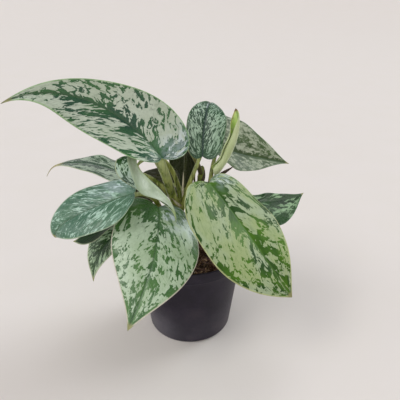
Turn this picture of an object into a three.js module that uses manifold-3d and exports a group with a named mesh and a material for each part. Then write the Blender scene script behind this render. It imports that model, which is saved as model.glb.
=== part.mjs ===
// Potted satin pothos (Scindapsus pictus): silver-marked leaves on four cut stems in a 10 cm nursery pot.
// Units are millimetres and +Z is up. The pot stands on z = 0 with its axis on the Z axis.
// The side with the two largest low leaves faces -Y.
import * as THREE from "three";
import { mergeVertices } from "three/addons/utils/BufferGeometryUtils.js";
import Module from "manifold-3d";

const wasm = await Module();
wasm.setup();

// Driving dimensions.
const GAP = 0.3;

const POT_HEIGHT = 84;
const POT_RIM_RADIUS = 50.5;
const POT_BASE_RADIUS = 38;
const POT_WALL = 1.2;
const POT_FLOOR = 1.6;
const POT_CORNER = 3;
const POT_SIDES = 40;
const POT_EDGE = 0.4;
const RIM_BAND_HEIGHT = 11;
const RIM_STEP = 2.2;
const RIM_FLARE = 0.8;
const RIM_LIP = 1.8;
const DRAIN_HOLES = 6;
const DRAIN_RADIUS = 4;
const DRAIN_RING_RADIUS = 25;
const DRAIN_SIDES = 20;

const SOIL_LEVEL = 74;
const SOIL_MIDDLE = 72;
const SOIL_EDGE = 68;
const SOIL_LUMP = 1;
const SOIL_SMALL_LUMP = 0.6;
const SOIL_DISH = 1.2;
const SOIL_CORNER = 2.4;
const SOIL_RINGS = [0.92, 0.76, 0.6, 0.44, 0.28, 0.12, 0];
const STEM_HOLE_FLOOR = 39;
const STEM_HOLE_ROOM = 0.45;
const STEM_STEPS = 8;
const STEM_SIDES = 12;

const BLADE_THICKNESS = 0.8;
const LARGE_BLADE_WIDTH = 50;
const LOBE_SHARE = 0.42;
const LOBE_CURVE = { near: 0.9, far: 1.35, width: 0.25 };
const NOTCH_RUN = 0.9;
const LOBE_ROOM = 0.015;
const BLADE_ROOM = 0.36;
const FIRST_VEINS = 0.3;
const BLADE_ROWS = { large: 22, small: 16 };
const BLADE_COLUMNS = 4;
const PETIOLE_SIDES = 8;
const PETIOLE_STEPS = 10;

// Leaf blades. Sides are given as [left, right], seen from the base towards the tip, upper face on top.
// rib: four control points of the midrib, from the notch at the petiole to the tip.
// face: direction that the upper face looks in, at the base and at the tip.
// half: greatest width of each side. fold: degrees that each side rises from the midrib.
// arch: degrees that each side bends down in 10 mm. lobe: reach behind the notch, in leaf lengths.
// widest, shoulder, taper, point: outline of each side, in leaf lengths and half widths.
// wave: height in mm and number of waves along the edge.
const LEAVES = {
  leaf_upper_left: {
    rib: [[-20, -19, 172], [-37, -10, 196], [-81, -19, 239], [-124, -46, 221]],
    face: [[0.8, -0.6, 0.2], [-0.5, -0.9, 0.2]],
    half: [24, 31],
    fold: [14, 16],
    arch: [0, -4],
    lobe: [0.04, 0.13],
    widest: [0.41, 0.18],
    shoulder: [0.35, 0.19],
    taper: [0.77, 0.73],
    point: 0.22,
    wave: [1.0, 2.5],
  },
  leaf_top_centre: {
    rib: [[12, 4, 165], [12, 10, 187], [16, 17, 208], [19, 34, 203]],
    face: [[0.1, -0.9, 0.4], [0.1, -0.3, 1]],
    half: [15, 18],
    fold: [15, 10],
    arch: [9, 8],
    lobe: [0.06, 0.08],
    widest: [0.42, 0.42],
    shoulder: [0.21, 0.29],
    taper: [0.87, 0.87],
    point: 0.19,
    wave: [0.8, 2.0],
  },
  leaf_rolled_new: {
    rib: [[22, 7, 146], [36, 5, 162], [46, 3, 190], [38, 5, 205]],
    face: [[-0.9, -0.1, 0.3], [-0.6, -0.7, 0.3]],
    half: [12.5, 11],
    fold: [0, 0],
    arch: [-155, -198],
    lobe: [-0.04, -0.04],
    widest: [0.32, 0.3],
    shoulder: [0.35, 0.35],
    taper: [0.9, 0.9],
    point: 0.45,
    wave: [1.0, 2.5],
  },
  leaf_back_right: {
    rib: [[24, 29, 167], [42, 47, 149], [71, 57, 145], [98, 65, 135]],
    face: [[0.1, -0.6, 0.8], [0.1, -0.7, 0.7]],
    half: [34, 22],
    fold: [15, 12],
    arch: [0, 0],
    lobe: [0.14, 0.12],
    widest: [0.27, 0.22],
    shoulder: [0.3, 0.3],
    taper: [0.8, 0.8],
    point: 0.14,
    wave: [1.0, 2.5],
  },
  leaf_front_right: {
    rib: [[17, -17, 150], [40, -33, 128], [61, -76, 110], [81, -68, 76]],
    face: [[0.5, -0.3, 0.8], [0.5, -0.9, 0.2]],
    half: [33, 46],
    fold: [13, 12],
    arch: [6, 4],
    lobe: [0.06, 0.11],
    widest: [0.31, 0.37],
    shoulder: [0.3, 0.3],
    taper: [0.8, 0.8],
    point: 0.33,
    wave: [1.0, 2.5],
  },
  leaf_low_right: {
    rib: [[41, 10, 122], [65, 0, 123], [83, -3, 127], [99, 1, 133]],
    face: [[0.1, -0.3, 1], [0.2, -0.7, 0.7]],
    half: [8, 30],
    fold: [8, 10],
    arch: [0, 0],
    lobe: [0.12, 0.12],
    widest: [0.34, 0.39],
    shoulder: [0.3, 0.3],
    taper: [0.8, 0.8],
    point: 0.16,
    wave: [1.0, 2.5],
  },
  leaf_front_centre: {
    rib: [[-25, -13, 126], [-20, -44, 115], [-27, -74, 97], [-43, -94, 66]],
    face: [[0.4, -0.4, 0.9], [-0.3, -0.9, 0.4]],
    half: [36, 36],
    fold: [4, 8],
    arch: [9, 8],
    lobe: [0.1, 0.13],
    widest: [0.33, 0.33],
    shoulder: [0.3, 0.3],
    taper: [0.8, 0.8],
    point: 0.3,
    wave: [1.0, 2.5],
  },
  leaf_left: {
    rib: [[-42, -28, 146], [-66, -22, 136], [-108, -36, 126], [-108, -32, 108]],
    face: [[0.2, -0.4, 0.9], [-0.2, -0.7, 0.7]],
    half: [23, 22],
    fold: [13, 6],
    arch: [10, 9],
    lobe: [0.07, 0.05],
    widest: [0.33, 0.39],
    shoulder: [0.36, 0.19],
    taper: [0.87, 0.9],
    point: 0.4,
    wave: [0.8, 2.0],
  },
  leaf_far_left: {
    rib: [[-54, 20, 141], [-69, 10, 153], [-93, 13, 163], [-123, 10, 151]],
    face: [[0, -0.2, 1], [-0, 0.1, 1]],
    half: [23, 20],
    fold: [9, 3],
    arch: [4, 2],
    lobe: [0.13, 0.12],
    widest: [0.35, 0.33],
    shoulder: [0.3, 0.3],
    taper: [0.8, 0.8],
    point: 0.11,
    wave: [1.0, 2.5],
  },
  leaf_folded_young: {
    rib: [[-40, -23, 172], [-41, -35, 163], [-7, -27, 145], [-9, -41, 127]],
    face: [[-0.7, 0.1, 0.7], [-0.6, -0.3, -0.7]],
    half: [13, 16],
    fold: [53, 51],
    arch: [1, 3],
    lobe: [0.07, 0.13],
    widest: [0.31, 0.2],
    shoulder: [0.28, 0.32],
    taper: [0.6, 0.76],
    point: 0.13,
    wave: [1.0, 2.5],
  },
  leaf_under_left: {
    rib: [[-49, 4, 108], [-67, -11, 109], [-81, -25, 102], [-100, -15, 94]],
    face: [[-0.4, 0.2, 0.9], [-0.6, -0.4, 0.7]],
    half: [21, 18],
    fold: [12, 8],
    arch: [0, 2],
    lobe: [0.12, 0.12],
    widest: [0.32, 0.35],
    shoulder: [0.3, 0.3],
    taper: [0.8, 0.8],
    point: 0.21,
    wave: [1.0, 2.5],
  },
  leaf_hanging_left: {
    rib: [[-46, 14, 94], [-62, 2, 99], [-85, -15, 87], [-84, -25, 59]],
    face: [[-0.5, -0.3, 0.8], [-0.5, -0.8, 0.3]],
    half: [17, 19],
    fold: [12, 14],
    arch: [1, 4],
    lobe: [0.12, 0.12],
    widest: [0.44, 0.38],
    shoulder: [0.29, 0.31],
    taper: [0.89, 0.82],
    point: 0.2,
    wave: [1.0, 2.5],
  },
  leaf_rear_upper: {
    rib: [[-2, 22, 166], [-2, 38, 174], [-4, 54, 146], [-7, 57, 96]],
    face: [[0, -0.2, 1], [0.1, 0.9, 0.3]],
    half: [17, 13],
    fold: [10, 10],
    arch: [6, 6],
    lobe: [0.12, 0.12],
    widest: [0.4, 0.4],
    shoulder: [0.35, 0.35],
    taper: [0.92, 0.92],
    point: 0.5,
    wave: [1.0, 2.5],
  },
  leaf_rear_low: {
    rib: [[20, 32, 118], [30, 46, 120], [42, 64, 108], [48, 76, 84]],
    face: [[0, -0.2, 1], [0.4, 0.6, 0.7]],
    half: [19, 19],
    fold: [10, 10],
    arch: [6, 6],
    lobe: [0.12, 0.12],
    widest: [0.32, 0.32],
    shoulder: [0.3, 0.3],
    taper: [0.8, 0.8],
    point: 0.15,
    wave: [1.0, 2.5],
  },
  leaf_rear_left: {
    rib: [[-12, 36, 126], [-26, 42, 128], [-44, 44, 114], [-56, 42, 86]],
    face: [[0, 0.9, 0.4], [-0.3, 0.9, 0.2]],
    half: [22, 20],
    fold: [10, 10],
    arch: [6, 6],
    lobe: [0.12, 0.12],
    widest: [0.32, 0.32],
    shoulder: [0.3, 0.3],
    taper: [0.8, 0.8],
    point: 0.15,
    wave: [1.0, 2.5],
  },
};

// Stems: four control points of the axis from the cut end in the soil to the top, and the two end radii.
const STEMS = {
  stem_left: {
    axis: [[-22, -4, 40], [-22, -3, 62], [-23, -2, 84], [-23, -1, 107]],
    radius: [3.4, 2.9],
  },
  stem_centre: {
    axis: [[-3, 4, 40], [-4, 4, 66], [-6, 4, 92], [-8, 3, 119]],
    radius: [3.6, 3.0],
  },
  stem_right: {
    axis: [[21, -1, 40], [20, -1, 64], [19, -2, 90], [17, -2, 114]],
    radius: [3.4, 2.8],
  },
  stem_rear: {
    axis: [[4, 21, 40], [3, 20, 72], [6, 19, 112], [12, 21, 150]],
    radius: [3.4, 2.6],
  },
};

// Petioles: the stem and how far up it each one grows (0 at the cut end, 1 at the top), its two inner
// control points, its radius at the stem and at the blade, and how far past the notch it meets the midrib.
const PETIOLES = {
  leaf_upper_left: {
    stem: "stem_centre",
    along: 0.96,
    via: [[-16, 0, 130], [-15, -14, 152]],
    radius: [3.8, 4.2],
  },
  leaf_top_centre: {
    stem: "stem_centre",
    along: 0.9,
    via: [[-4, 0, 132], [5, 6, 150]],
    radius: [2.6, 1.5],
  },
  leaf_rolled_new: {
    stem: "stem_right",
    along: 0.97,
    via: [[16, 1, 128], [17, 8, 136]],
    radius: [2.8, 1.7],
    reach: -0.4,
  },
  leaf_back_right: {
    stem: "stem_right",
    along: 0.84,
    via: [[16, 8, 136], [21, 19, 156]],
    radius: [2.6, 1.5],
  },
  leaf_front_right: {
    stem: "stem_right",
    along: 0.9,
    via: [[12, -3, 128], [9, -10, 143]],
    radius: [3.4, 2.2],
  },
  leaf_low_right: {
    stem: "stem_right",
    along: 0.78,
    via: [[22, 6, 108], [32, 13, 116]],
    radius: [2.4, 1.4],
  },
  leaf_front_centre: {
    stem: "stem_left",
    along: 0.8,
    via: [[-24, -1, 108], [-24, -5, 118]],
    radius: [3.2, 2.0],
  },
  leaf_left: {
    stem: "stem_left",
    along: 0.97,
    via: [[-24, -1, 127], [-31, -11, 142]],
    radius: [2.8, 1.6],
  },
  leaf_far_left: {
    stem: "stem_centre",
    along: 0.88,
    via: [[-18, 4, 142], [-42, 22, 148]],
    radius: [2.5, 1.4],
  },
  leaf_folded_young: {
    stem: "stem_centre",
    along: 0.93,
    via: [[-5, 12, 144], [-24, 12, 178]],
    radius: [2.5, 1.4],
  },
  leaf_under_left: {
    stem: "stem_left",
    along: 0.76,
    via: [[-27, 6, 101], [-40, 10, 104]],
    radius: [2.4, 1.4],
  },
  leaf_hanging_left: {
    stem: "stem_left",
    along: 0.66,
    via: [[-28, 9, 90], [-39, 18, 94]],
    radius: [2.4, 1.4],
  },
  leaf_rear_upper: {
    stem: "stem_rear",
    along: 0.93,
    via: [[8, 16, 156], [3, 14, 164]],
    radius: [2.4, 1.5],
  },
  leaf_rear_low: {
    stem: "stem_rear",
    along: 0.55,
    via: [[7, 24, 108], [14, 28, 114]],
    radius: [2.5, 1.4],
  },
  leaf_rear_left: {
    stem: "stem_rear",
    along: 0.72,
    via: [[2, 21, 120], [-7, 25, 128]],
    radius: [2.5, 1.4],
  },
};
const PETIOLE_REACH = 4.5;

// Vector helpers on plain [x, y, z] arrays.
const add = (a, b) => [a[0] + b[0], a[1] + b[1], a[2] + b[2]];
const scale = (a, k) => [a[0] * k, a[1] * k, a[2] * k];
const mix = (a, b, t) => add(scale(a, 1 - t), scale(b, t));
const dot = (a, b) => a[0] * b[0] + a[1] * b[1] + a[2] * b[2];
const cross = (a, b) => [a[1] * b[2] - a[2] * b[1], a[2] * b[0] - a[0] * b[2], a[0] * b[1] - a[1] * b[0]];
const unit = (a) => scale(a, 1 / Math.hypot(a[0], a[1], a[2]));

function bezier(points, t) {
  const s = 1 - t;
  const weights = [s * s * s, 3 * s * s * t, 3 * s * t * t, t * t * t];
  return points[0].map((_, i) => weights.reduce((sum, w, k) => sum + w * points[k][i], 0));
}

function bezierSlope(points, t) {
  const s = 1 - t;
  const weights = [3 * s * s, 6 * s * t, 3 * t * t];
  const step = (k, i) => points[k + 1][i] - points[k][i];
  return points[0].map((_, i) => weights.reduce((sum, w, k) => sum + w * step(k, i), 0));
}

// Outline of one side as (part of the length, part of the half width), for t from the notch to the tip.
// The lobe takes the first LOBE_SHARE of t, and rows before FIRST_VEINS all start at the notch.
function outline(leaf, side, t) {
  const lobe = leaf.lobe[side];
  const widest = leaf.widest[side];
  if (t < LOBE_SHARE) {
    const near = [-LOBE_CURVE.near * lobe, LOBE_CURVE.width];
    const far = [-LOBE_CURVE.far * lobe, 1];
    return bezier([[0, 0], near, far, [widest, 1]], t / LOBE_SHARE);
  }
  const u = (t - LOBE_SHARE) / (1 - LOBE_SHARE);
  return bezier([[widest, 1], [widest + leaf.shoulder[side], 1], [leaf.taper[side], leaf.point], [1, 0]], u);
}

// Millimetres that one leaf length stands for close to the notch.
function lengthAtNotch(leaf) {
  return NOTCH_RUN * Math.hypot(...bezierSlope(leaf.rib, 0));
}

// Point of the blade and its normal, u along the midrib and v from it as a signed part of the half width.
function bladePoint(leaf, u, v) {
  const along = Math.min(Math.max(u, 0), 1);
  const slope = bezierSlope(leaf.rib, along);
  const tangent = unit(slope);
  const back = Math.min(u, 0) * lengthAtNotch(leaf);
  const centre = add(bezier(leaf.rib, along), scale(tangent, back));
  const face = mix(unit(leaf.face[0]), unit(leaf.face[1]), along);
  const up = unit(add(face, scale(tangent, -dot(face, tangent))));
  const right = cross(tangent, up);
  const side = v > 0 ? 1 : 0;
  const sign = v > 0 ? 1 : -1;
  const reach = Math.abs(v) * leaf.half[side];
  const fold = THREE.MathUtils.degToRad(leaf.fold[side]);
  const bend = THREE.MathUtils.degToRad(leaf.arch[side] || 0.01) / 10;
  const angle = fold - bend * reach;
  const out = (Math.sin(fold) - Math.sin(angle)) / bend;
  const wave = leaf.wave[0] * Math.sin(2 * Math.PI * leaf.wave[1] * u + 1) * v * v;
  const rise = (Math.cos(angle) - Math.cos(fold)) / bend + wave;
  const point = add(centre, add(scale(right, sign * out), scale(up, rise)));
  const normal = v === 0 ? up : add(scale(up, Math.cos(angle)), scale(right, -sign * Math.sin(angle)));
  return { point, normal };
}

// Closed triangles of a blade of the given thickness. Both faces share one pattern of triangles, whose
// rows run from the midrib out to the edge as the side veins do.
function bladeGeometry(leaf, thickness, rows, columns) {
  const corners = [];
  const vertexAt = (side, i, j) => {
    const t = i / rows;
    const edge = outline(leaf, side, t);
    const middle = Math.max((t - FIRST_VEINS) / (1 - FIRST_VEINS), 0);
    const part = j / columns;
    return bladePoint(leaf, middle * (1 - part) + edge[0] * part, (side ? 1 : -1) * edge[1] * part);
  };
  const lift = (vertex, level) => add(vertex.point, scale(vertex.normal, (level * thickness) / 2));
  const triangle = (a, b, c) => corners.push(...a, ...b, ...c);
  for (const side of [0, 1]) {
    const turn = (a, b, c) => (side ? triangle(a, b, c) : triangle(a, c, b));
    for (let i = 0; i < rows; i += 1) {
      for (let j = 0; j < columns; j += 1) {
        const a = vertexAt(side, i, j);
        const b = vertexAt(side, i, j + 1);
        const c = vertexAt(side, i + 1, j + 1);
        const d = vertexAt(side, i + 1, j);
        turn(lift(a, 1), lift(b, 1), lift(c, 1));
        turn(lift(a, 1), lift(c, 1), lift(d, 1));
        turn(lift(a, -1), lift(c, -1), lift(b, -1));
        turn(lift(a, -1), lift(d, -1), lift(c, -1));
      }
      const p = vertexAt(side, i, columns);
      const q = vertexAt(side, i + 1, columns);
      turn(lift(p, 1), lift(p, -1), lift(q, -1));
      turn(lift(p, 1), lift(q, -1), lift(q, 1));
    }
  }
  return closedGeometry(corners);
}

// Joins equal corners and leaves out triangles that have closed up to a line.
function closedGeometry(corners) {
  const loose = new THREE.BufferGeometry();
  loose.setAttribute("position", new THREE.Float32BufferAttribute(corners, 3));
  const merged = mergeVertices(loose, 2e-3);
  const kept = [];
  for (let i = 0; i < merged.index.count; i += 3) {
    const [a, b, c] = [0, 1, 2].map((k) => merged.index.getX(i + k));
    if (a !== b && b !== c && c !== a) {
      kept.push(a, b, c);
    }
  }
  merged.setIndex(kept);
  return merged;
}

function solidOf(geometry) {
  return new wasm.Manifold(
    new wasm.Mesh({
      numProp: 3,
      vertProperties: new Float32Array(geometry.attributes.position.array),
      triVerts: new Uint32Array(geometry.index.array),
    }),
  );
}

function geometryOf(solid) {
  const mesh = solid.getMesh();
  const geometry = new THREE.BufferGeometry();
  geometry.setAttribute("position", new THREE.BufferAttribute(new Float32Array(mesh.vertProperties), 3));
  geometry.setIndex(new THREE.BufferAttribute(new Uint32Array(mesh.triVerts), 1));
  return geometry;
}

function largestPart(solid) {
  return solid.decompose().sort((a, b) => b.volume() - a.volume())[0];
}

// Round tube along a cubic curve, with the radius going from the first value to the second.
function tubeSolid(points, radius, steps, sides) {
  const corners = [];
  const start = unit(bezierSlope(points, 0));
  let across = unit(cross(start, Math.abs(start[2]) > 0.9 ? [1, 0, 0] : [0, 0, 1]));
  const rings = [];
  for (let i = 0; i <= steps; i += 1) {
    const t = i / steps;
    const tangent = unit(bezierSlope(points, t));
    across = unit(add(across, scale(tangent, -dot(across, tangent))));
    const other = cross(tangent, across);
    const r = radius[0] + (radius[1] - radius[0]) * t;
    const centre = bezier(points, t);
    const ring = [];
    for (let k = 0; k < sides; k += 1) {
      const angle = (2 * Math.PI * k) / sides;
      ring.push(add(centre, add(scale(across, r * Math.cos(angle)), scale(other, r * Math.sin(angle)))));
    }
    rings.push({ centre, ring });
  }
  const first = rings[0];
  const last = rings[steps];
  for (let k = 0; k < sides; k += 1) {
    const n = (k + 1) % sides;
    corners.push(...first.centre, ...first.ring[n], ...first.ring[k]);
    corners.push(...last.centre, ...last.ring[k], ...last.ring[n]);
    for (let i = 0; i < steps; i += 1) {
      const a = rings[i].ring;
      const b = rings[i + 1].ring;
      corners.push(...a[k], ...a[n], ...b[n]);
      corners.push(...a[k], ...b[n], ...b[k]);
    }
  }
  return solidOf(closedGeometry(corners));
}

function latheSolid(profile, segments) {
  const points = profile.map(([x, y]) => new THREE.Vector2(x, y));
  const lathe = new THREE.LatheGeometry(points, segments).rotateX(Math.PI / 2);
  return solidOf(closedGeometry(Array.from(lathe.toNonIndexed().attributes.position.array)));
}

function uprightCylinder(x, y, low, high, radius, sides) {
  return latheSolid([[0, low], [radius, low], [radius, high], [0, high]], sides).translate([x, y, 0]);
}

function roundedCorner(x, y, radius, from, to, steps) {
  const points = [];
  for (let i = 0; i <= steps; i += 1) {
    const angle = THREE.MathUtils.degToRad(from + ((to - from) * i) / steps);
    points.push([x + radius * Math.cos(angle), y + radius * Math.sin(angle)]);
  }
  return points;
}

// Pot: a tapered wall, a stepped rim band with a rounded lip, and a flat floor with drain holes.
const bandLow = POT_HEIGHT - RIM_BAND_HEIGHT;
const bandRadius = POT_RIM_RADIUS - RIM_FLARE;
const wallTop = bandRadius - RIM_STEP;
const wallSlope = (wallTop - POT_BASE_RADIUS) / bandLow;
const outerRadius = (z) => POT_BASE_RADIUS + wallSlope * z;
const innerRadius = (z) => outerRadius(z) - POT_WALL;

const insideCorner = POT_CORNER - 1;
const cornerLevel = POT_FLOOR + insideCorner;
const cornerRadius = innerRadius(cornerLevel) - insideCorner;
const innerCorner = roundedCorner(cornerRadius, cornerLevel, insideCorner, 0, -90, 4);
const potProfile = [
  [0, 0],
  ...roundedCorner(outerRadius(POT_CORNER) - POT_CORNER, POT_CORNER, POT_CORNER, -90, -6, 5),
  [outerRadius(bandLow - 1.2), bandLow - 1.2],
  [outerRadius(bandLow) + POT_EDGE, bandLow],
  [bandRadius - POT_EDGE, bandLow + 0.3],
  [bandRadius, bandLow + 1],
  [POT_RIM_RADIUS - 0.3, POT_HEIGHT - 1.6],
  [POT_RIM_RADIUS, POT_HEIGHT - 0.8],
  [POT_RIM_RADIUS - POT_EDGE, POT_HEIGHT],
  [POT_RIM_RADIUS - RIM_LIP + POT_EDGE, POT_HEIGHT],
  [POT_RIM_RADIUS - RIM_LIP, POT_HEIGHT - 0.8],
  [bandRadius - POT_WALL - POT_EDGE, bandLow + 2.2],
  [innerRadius(bandLow) + POT_EDGE, bandLow + 1.2],
  [innerRadius(bandLow - 1), bandLow - 1],
  ...innerCorner,
  [0, POT_FLOOR],
];
let pot = latheSolid(potProfile, POT_SIDES);
for (let i = 0; i < DRAIN_HOLES; i += 1) {
  const angle = (2 * Math.PI * (i + 0.5)) / DRAIN_HOLES;
  const x = DRAIN_RING_RADIUS * Math.cos(angle);
  const y = DRAIN_RING_RADIUS * Math.sin(angle);
  pot = pot.subtract(uprightCylinder(x, y, -1, POT_FLOOR + 1, DRAIN_RADIUS, DRAIN_SIDES));
}

// Stems in the soil, each with its petioles grown on.
const stemAxis = (name, t) => bezier(STEMS[name].axis, t);
const stemSolids = {};
for (const [name, stem] of Object.entries(STEMS)) {
  stemSolids[name] = tubeSolid(stem.axis, stem.radius, STEM_STEPS, STEM_SIDES);
}

const isLarge = (leaf) => leaf.half[0] + leaf.half[1] > LARGE_BLADE_WIDTH;
const bladeOf = (leaf, thickness) => {
  const rows = isLarge(leaf) ? BLADE_ROWS.large : BLADE_ROWS.small;
  return bladeGeometry(leaf, thickness, rows, BLADE_COLUMNS);
};

// The same blade with its outline moved out by about the gap, which the end of a petiole is cut clear of.
function roomier(leaf) {
  const back = scale(unit(bezierSlope(leaf.rib, 0)), -2 * GAP);
  const half = leaf.half.map((width) => width + 2 * GAP);
  const lobe = leaf.lobe.map((reach) => reach + LOBE_ROOM);
  return { ...leaf, rib: [add(leaf.rib[0], back), ...leaf.rib.slice(1)], half, lobe };
}
for (const [name, petiole] of Object.entries(PETIOLES)) {
  const leaf = LEAVES[name];
  const end = bladePoint(leaf, (petiole.reach ?? PETIOLE_REACH) / lengthAtNotch(leaf), 0).point;
  const path = [stemAxis(petiole.stem, petiole.along), ...petiole.via, end];
  const stalk = tubeSolid(path, petiole.radius, PETIOLE_STEPS, PETIOLE_SIDES);
  const room = solidOf(bladeOf(roomier(leaf), BLADE_THICKNESS + 2 * BLADE_ROOM));
  const grown = largestPart(stalk.subtract(room));
  stemSolids[petiole.stem] = stemSolids[petiole.stem].add(grown);
}

// Soil: fills the pot below the rim band, with an uneven top and a plain hole for each stem.
function soilTop(x, y) {
  const lumps = SOIL_LUMP * Math.sin(0.33 * x + 0.9) * Math.cos(0.29 * y - 0.4);
  const smallLumps = SOIL_SMALL_LUMP * Math.sin(0.61 * y + 0.4 * x);
  const dish = SOIL_DISH * (Math.hypot(x, y) / innerRadius(SOIL_EDGE)) ** 2;
  return SOIL_MIDDLE + lumps + smallLumps - dish;
}
function soilSolid() {
  const edge = (z) => innerRadius(z) - GAP;
  const floor = POT_FLOOR + GAP;
  const corner = floor + SOIL_CORNER;
  const profile = [
    [0, floor],
    ...roundedCorner(edge(corner) - SOIL_CORNER, corner, SOIL_CORNER, -90, 0, 3),
    [edge(SOIL_EDGE), SOIL_EDGE],
  ];
  for (const part of SOIL_RINGS) {
    profile.push([edge(SOIL_EDGE) * part, SOIL_LEVEL]);
  }
  const points = profile.map(([x, y]) => new THREE.Vector2(x, y));
  const lathe = new THREE.LatheGeometry(points, POT_SIDES).rotateX(Math.PI / 2);
  const position = lathe.attributes.position;
  for (let i = 0; i < position.count; i += 1) {
    if (position.getZ(i) > SOIL_LEVEL - 0.01) {
      position.setZ(i, soilTop(position.getX(i), position.getY(i)));
    }
  }
  return solidOf(closedGeometry(Array.from(lathe.toNonIndexed().attributes.position.array)));
}
let soil = soilSolid();
for (const stem of Object.values(STEMS)) {
  const [x, y] = stem.axis[0];
  const axis = [[x, y, STEM_HOLE_FLOOR], ...stem.axis.slice(1)];
  const radius = stem.radius.map((r) => r + STEM_HOLE_ROOM);
  soil = soil.subtract(tubeSolid(axis, radius, STEM_STEPS, STEM_SIDES));
}

const COLOURS = { pot: "#2b272c", soil: "#3a2620", stem: "#7f8a45", leaf: "#8fa892", young: "#a9c77a" };

function material(name, colour) {
  const made = new THREE.MeshStandardMaterial({ color: colour, roughness: 0.6 });
  made.name = name;
  return made;
}

function place(group, name, geometry, materialName, colour) {
  const mesh = new THREE.Mesh(geometry, material(materialName, colour));
  mesh.name = name;
  group.add(mesh);
}

const plant = new THREE.Group();
plant.name = "potted_satin_pothos";
place(plant, "pot", geometryOf(pot), "pot_plastic", COLOURS.pot);
place(plant, "soil", geometryOf(soil), "potting_soil", COLOURS.soil);
for (const [name, solid] of Object.entries(stemSolids)) {
  place(plant, name, geometryOf(solid), "stem_green", COLOURS.stem);
}
for (const [name, leaf] of Object.entries(LEAVES)) {
  const isYoung = name === "leaf_rolled_new";
  const slot = isYoung ? "leaf_young" : "leaf_silver";
  const colour = isYoung ? COLOURS.young : COLOURS.leaf;
  place(plant, name, bladeOf(leaf, BLADE_THICKNESS), slot, colour);
}

export default plant;
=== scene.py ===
"""Potted satin pothos: fine blades, stems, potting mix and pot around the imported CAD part.

Lengths are millimetres until a mesh is made, which is in metres. Places in the materials are metres,
apart from those on a leaf. Colours are 0..255 screen values, apart from the linear ones of the world
and the lights. +Z is up, the pot's axis is the Z axis, and the camera stands on the -Y side.
"""

import math
import random
from collections import namedtuple
from types import SimpleNamespace

import bmesh
import bpy
import numpy as np
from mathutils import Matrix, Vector


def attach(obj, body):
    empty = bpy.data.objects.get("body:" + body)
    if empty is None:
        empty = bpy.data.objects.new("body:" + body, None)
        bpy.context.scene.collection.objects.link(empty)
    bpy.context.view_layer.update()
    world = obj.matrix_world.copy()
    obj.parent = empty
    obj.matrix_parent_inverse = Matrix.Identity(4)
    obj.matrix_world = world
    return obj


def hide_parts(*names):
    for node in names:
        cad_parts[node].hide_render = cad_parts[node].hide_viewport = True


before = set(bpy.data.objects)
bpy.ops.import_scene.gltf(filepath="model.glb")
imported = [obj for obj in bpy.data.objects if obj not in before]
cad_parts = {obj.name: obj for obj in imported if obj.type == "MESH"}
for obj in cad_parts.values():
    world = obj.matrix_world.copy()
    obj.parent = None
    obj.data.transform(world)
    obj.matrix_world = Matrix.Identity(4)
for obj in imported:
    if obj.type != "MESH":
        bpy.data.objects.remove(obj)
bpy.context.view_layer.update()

MM = 0.001
BODY = "root"

# The pot and what fills it, as in the CAD part.
POT_HEIGHT = 84
POT_RIM_RADIUS = 50.5
POT_BASE_RADIUS = 38
POT_WALL = 1.2
POT_FLOOR = 1.6
POT_CORNER = 3
RIM_BAND_HEIGHT = 11
RIM_STEP = 2.2
RIM_DRAFT = 0.8
DRAIN_HOLES = 6
DRAIN_RADIUS = 4
DRAIN_RING_RADIUS = 25
DRAIN_CUT_BEYOND = 3
SOIL_LEVEL = 74
SOIL_LUMP = 1.6

BAND_LOW = POT_HEIGHT - RIM_BAND_HEIGHT
BAND_RADIUS = POT_RIM_RADIUS - RIM_DRAFT
WALL_SLOPE = (BAND_RADIUS - RIM_STEP - POT_BASE_RADIUS) / BAND_LOW

# The pot's moulding: radii of its rounds, the hollow under it, and degrees from which an edge is sharp.
BAND_ROUND = 0.7
LIP_ROUND = 0.9
INSIDE_ROUND = 2
FOOT_HOLLOW = 0.6
SHARP_ANGLE = 50

# How finely the pieces are divided, and the distance in metres under which points are joined.
BLADE_ROWS = 120
BLADE_COLUMNS = 28
STEM_SIDES = 20
PETIOLE_SIDES = 16
POT_SIDES = 180
SOIL_RINGS = 70
SOIL_SIDES = 200
FLOOR_SIDES = 96
JOIN_DISTANCE = 2e-6

# Outline of a blade: the part of it that the basal lobe takes, where on it the first veins leave the
# midrib, inner points of the lobe's curve, and how fast the midrib's line runs back into the notch.
LOBE_SHARE = 0.42
FIRST_VEINS = 0.3
LOBE_BACK = (0.9, 1.35)
LOBE_WIDTH = 0.25
NOTCH_STRETCH = 0.9

# Thickness and relief of a blade. The midrib and the side veins sink above and rise below; the rib's
# width and rise are those at the tip, and how much more they are at the base. The blade swells between
# two veins, its rim bulges, and its tip hangs down from the last value on.
BLADE_MIDDLE = 0.6
BLADE_EDGE = 0.36
RIB_WIDTH = (0.7, 1.1)
RIB_RISE = (0.25, 1.0)
RIB_SINK = 0.4
VEIN_WIDTH = 0.5
VEIN_SINK = 0.13
VEIN_RISE = 0.12
SWELL = 0.16
RIM_BULGE = 0.12
TIP_HOOK_START = 0.9

# Stems: where the rounded top starts, its steps and how far it closes; place under a petiole, width
# and swelling of a joint; ripples of the skin; how brown it is at the soil and this far above it.
STEM_TOP = 0.96
STEM_TOP_STEPS = [0.975, 0.986, 0.994, 1.0]
STEM_TOP_CLOSING = 0.96
JOINT_DROP = 0.02
JOINT_WIDTH = 0.012
JOINT_SWELL = 0.35
SKIN_RIPPLE = 0.03
SKIN_RIPPLES = 12
STEM_BROWN = [0.75, 0.2]
STEM_BROWN_FADE = 45

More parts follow.
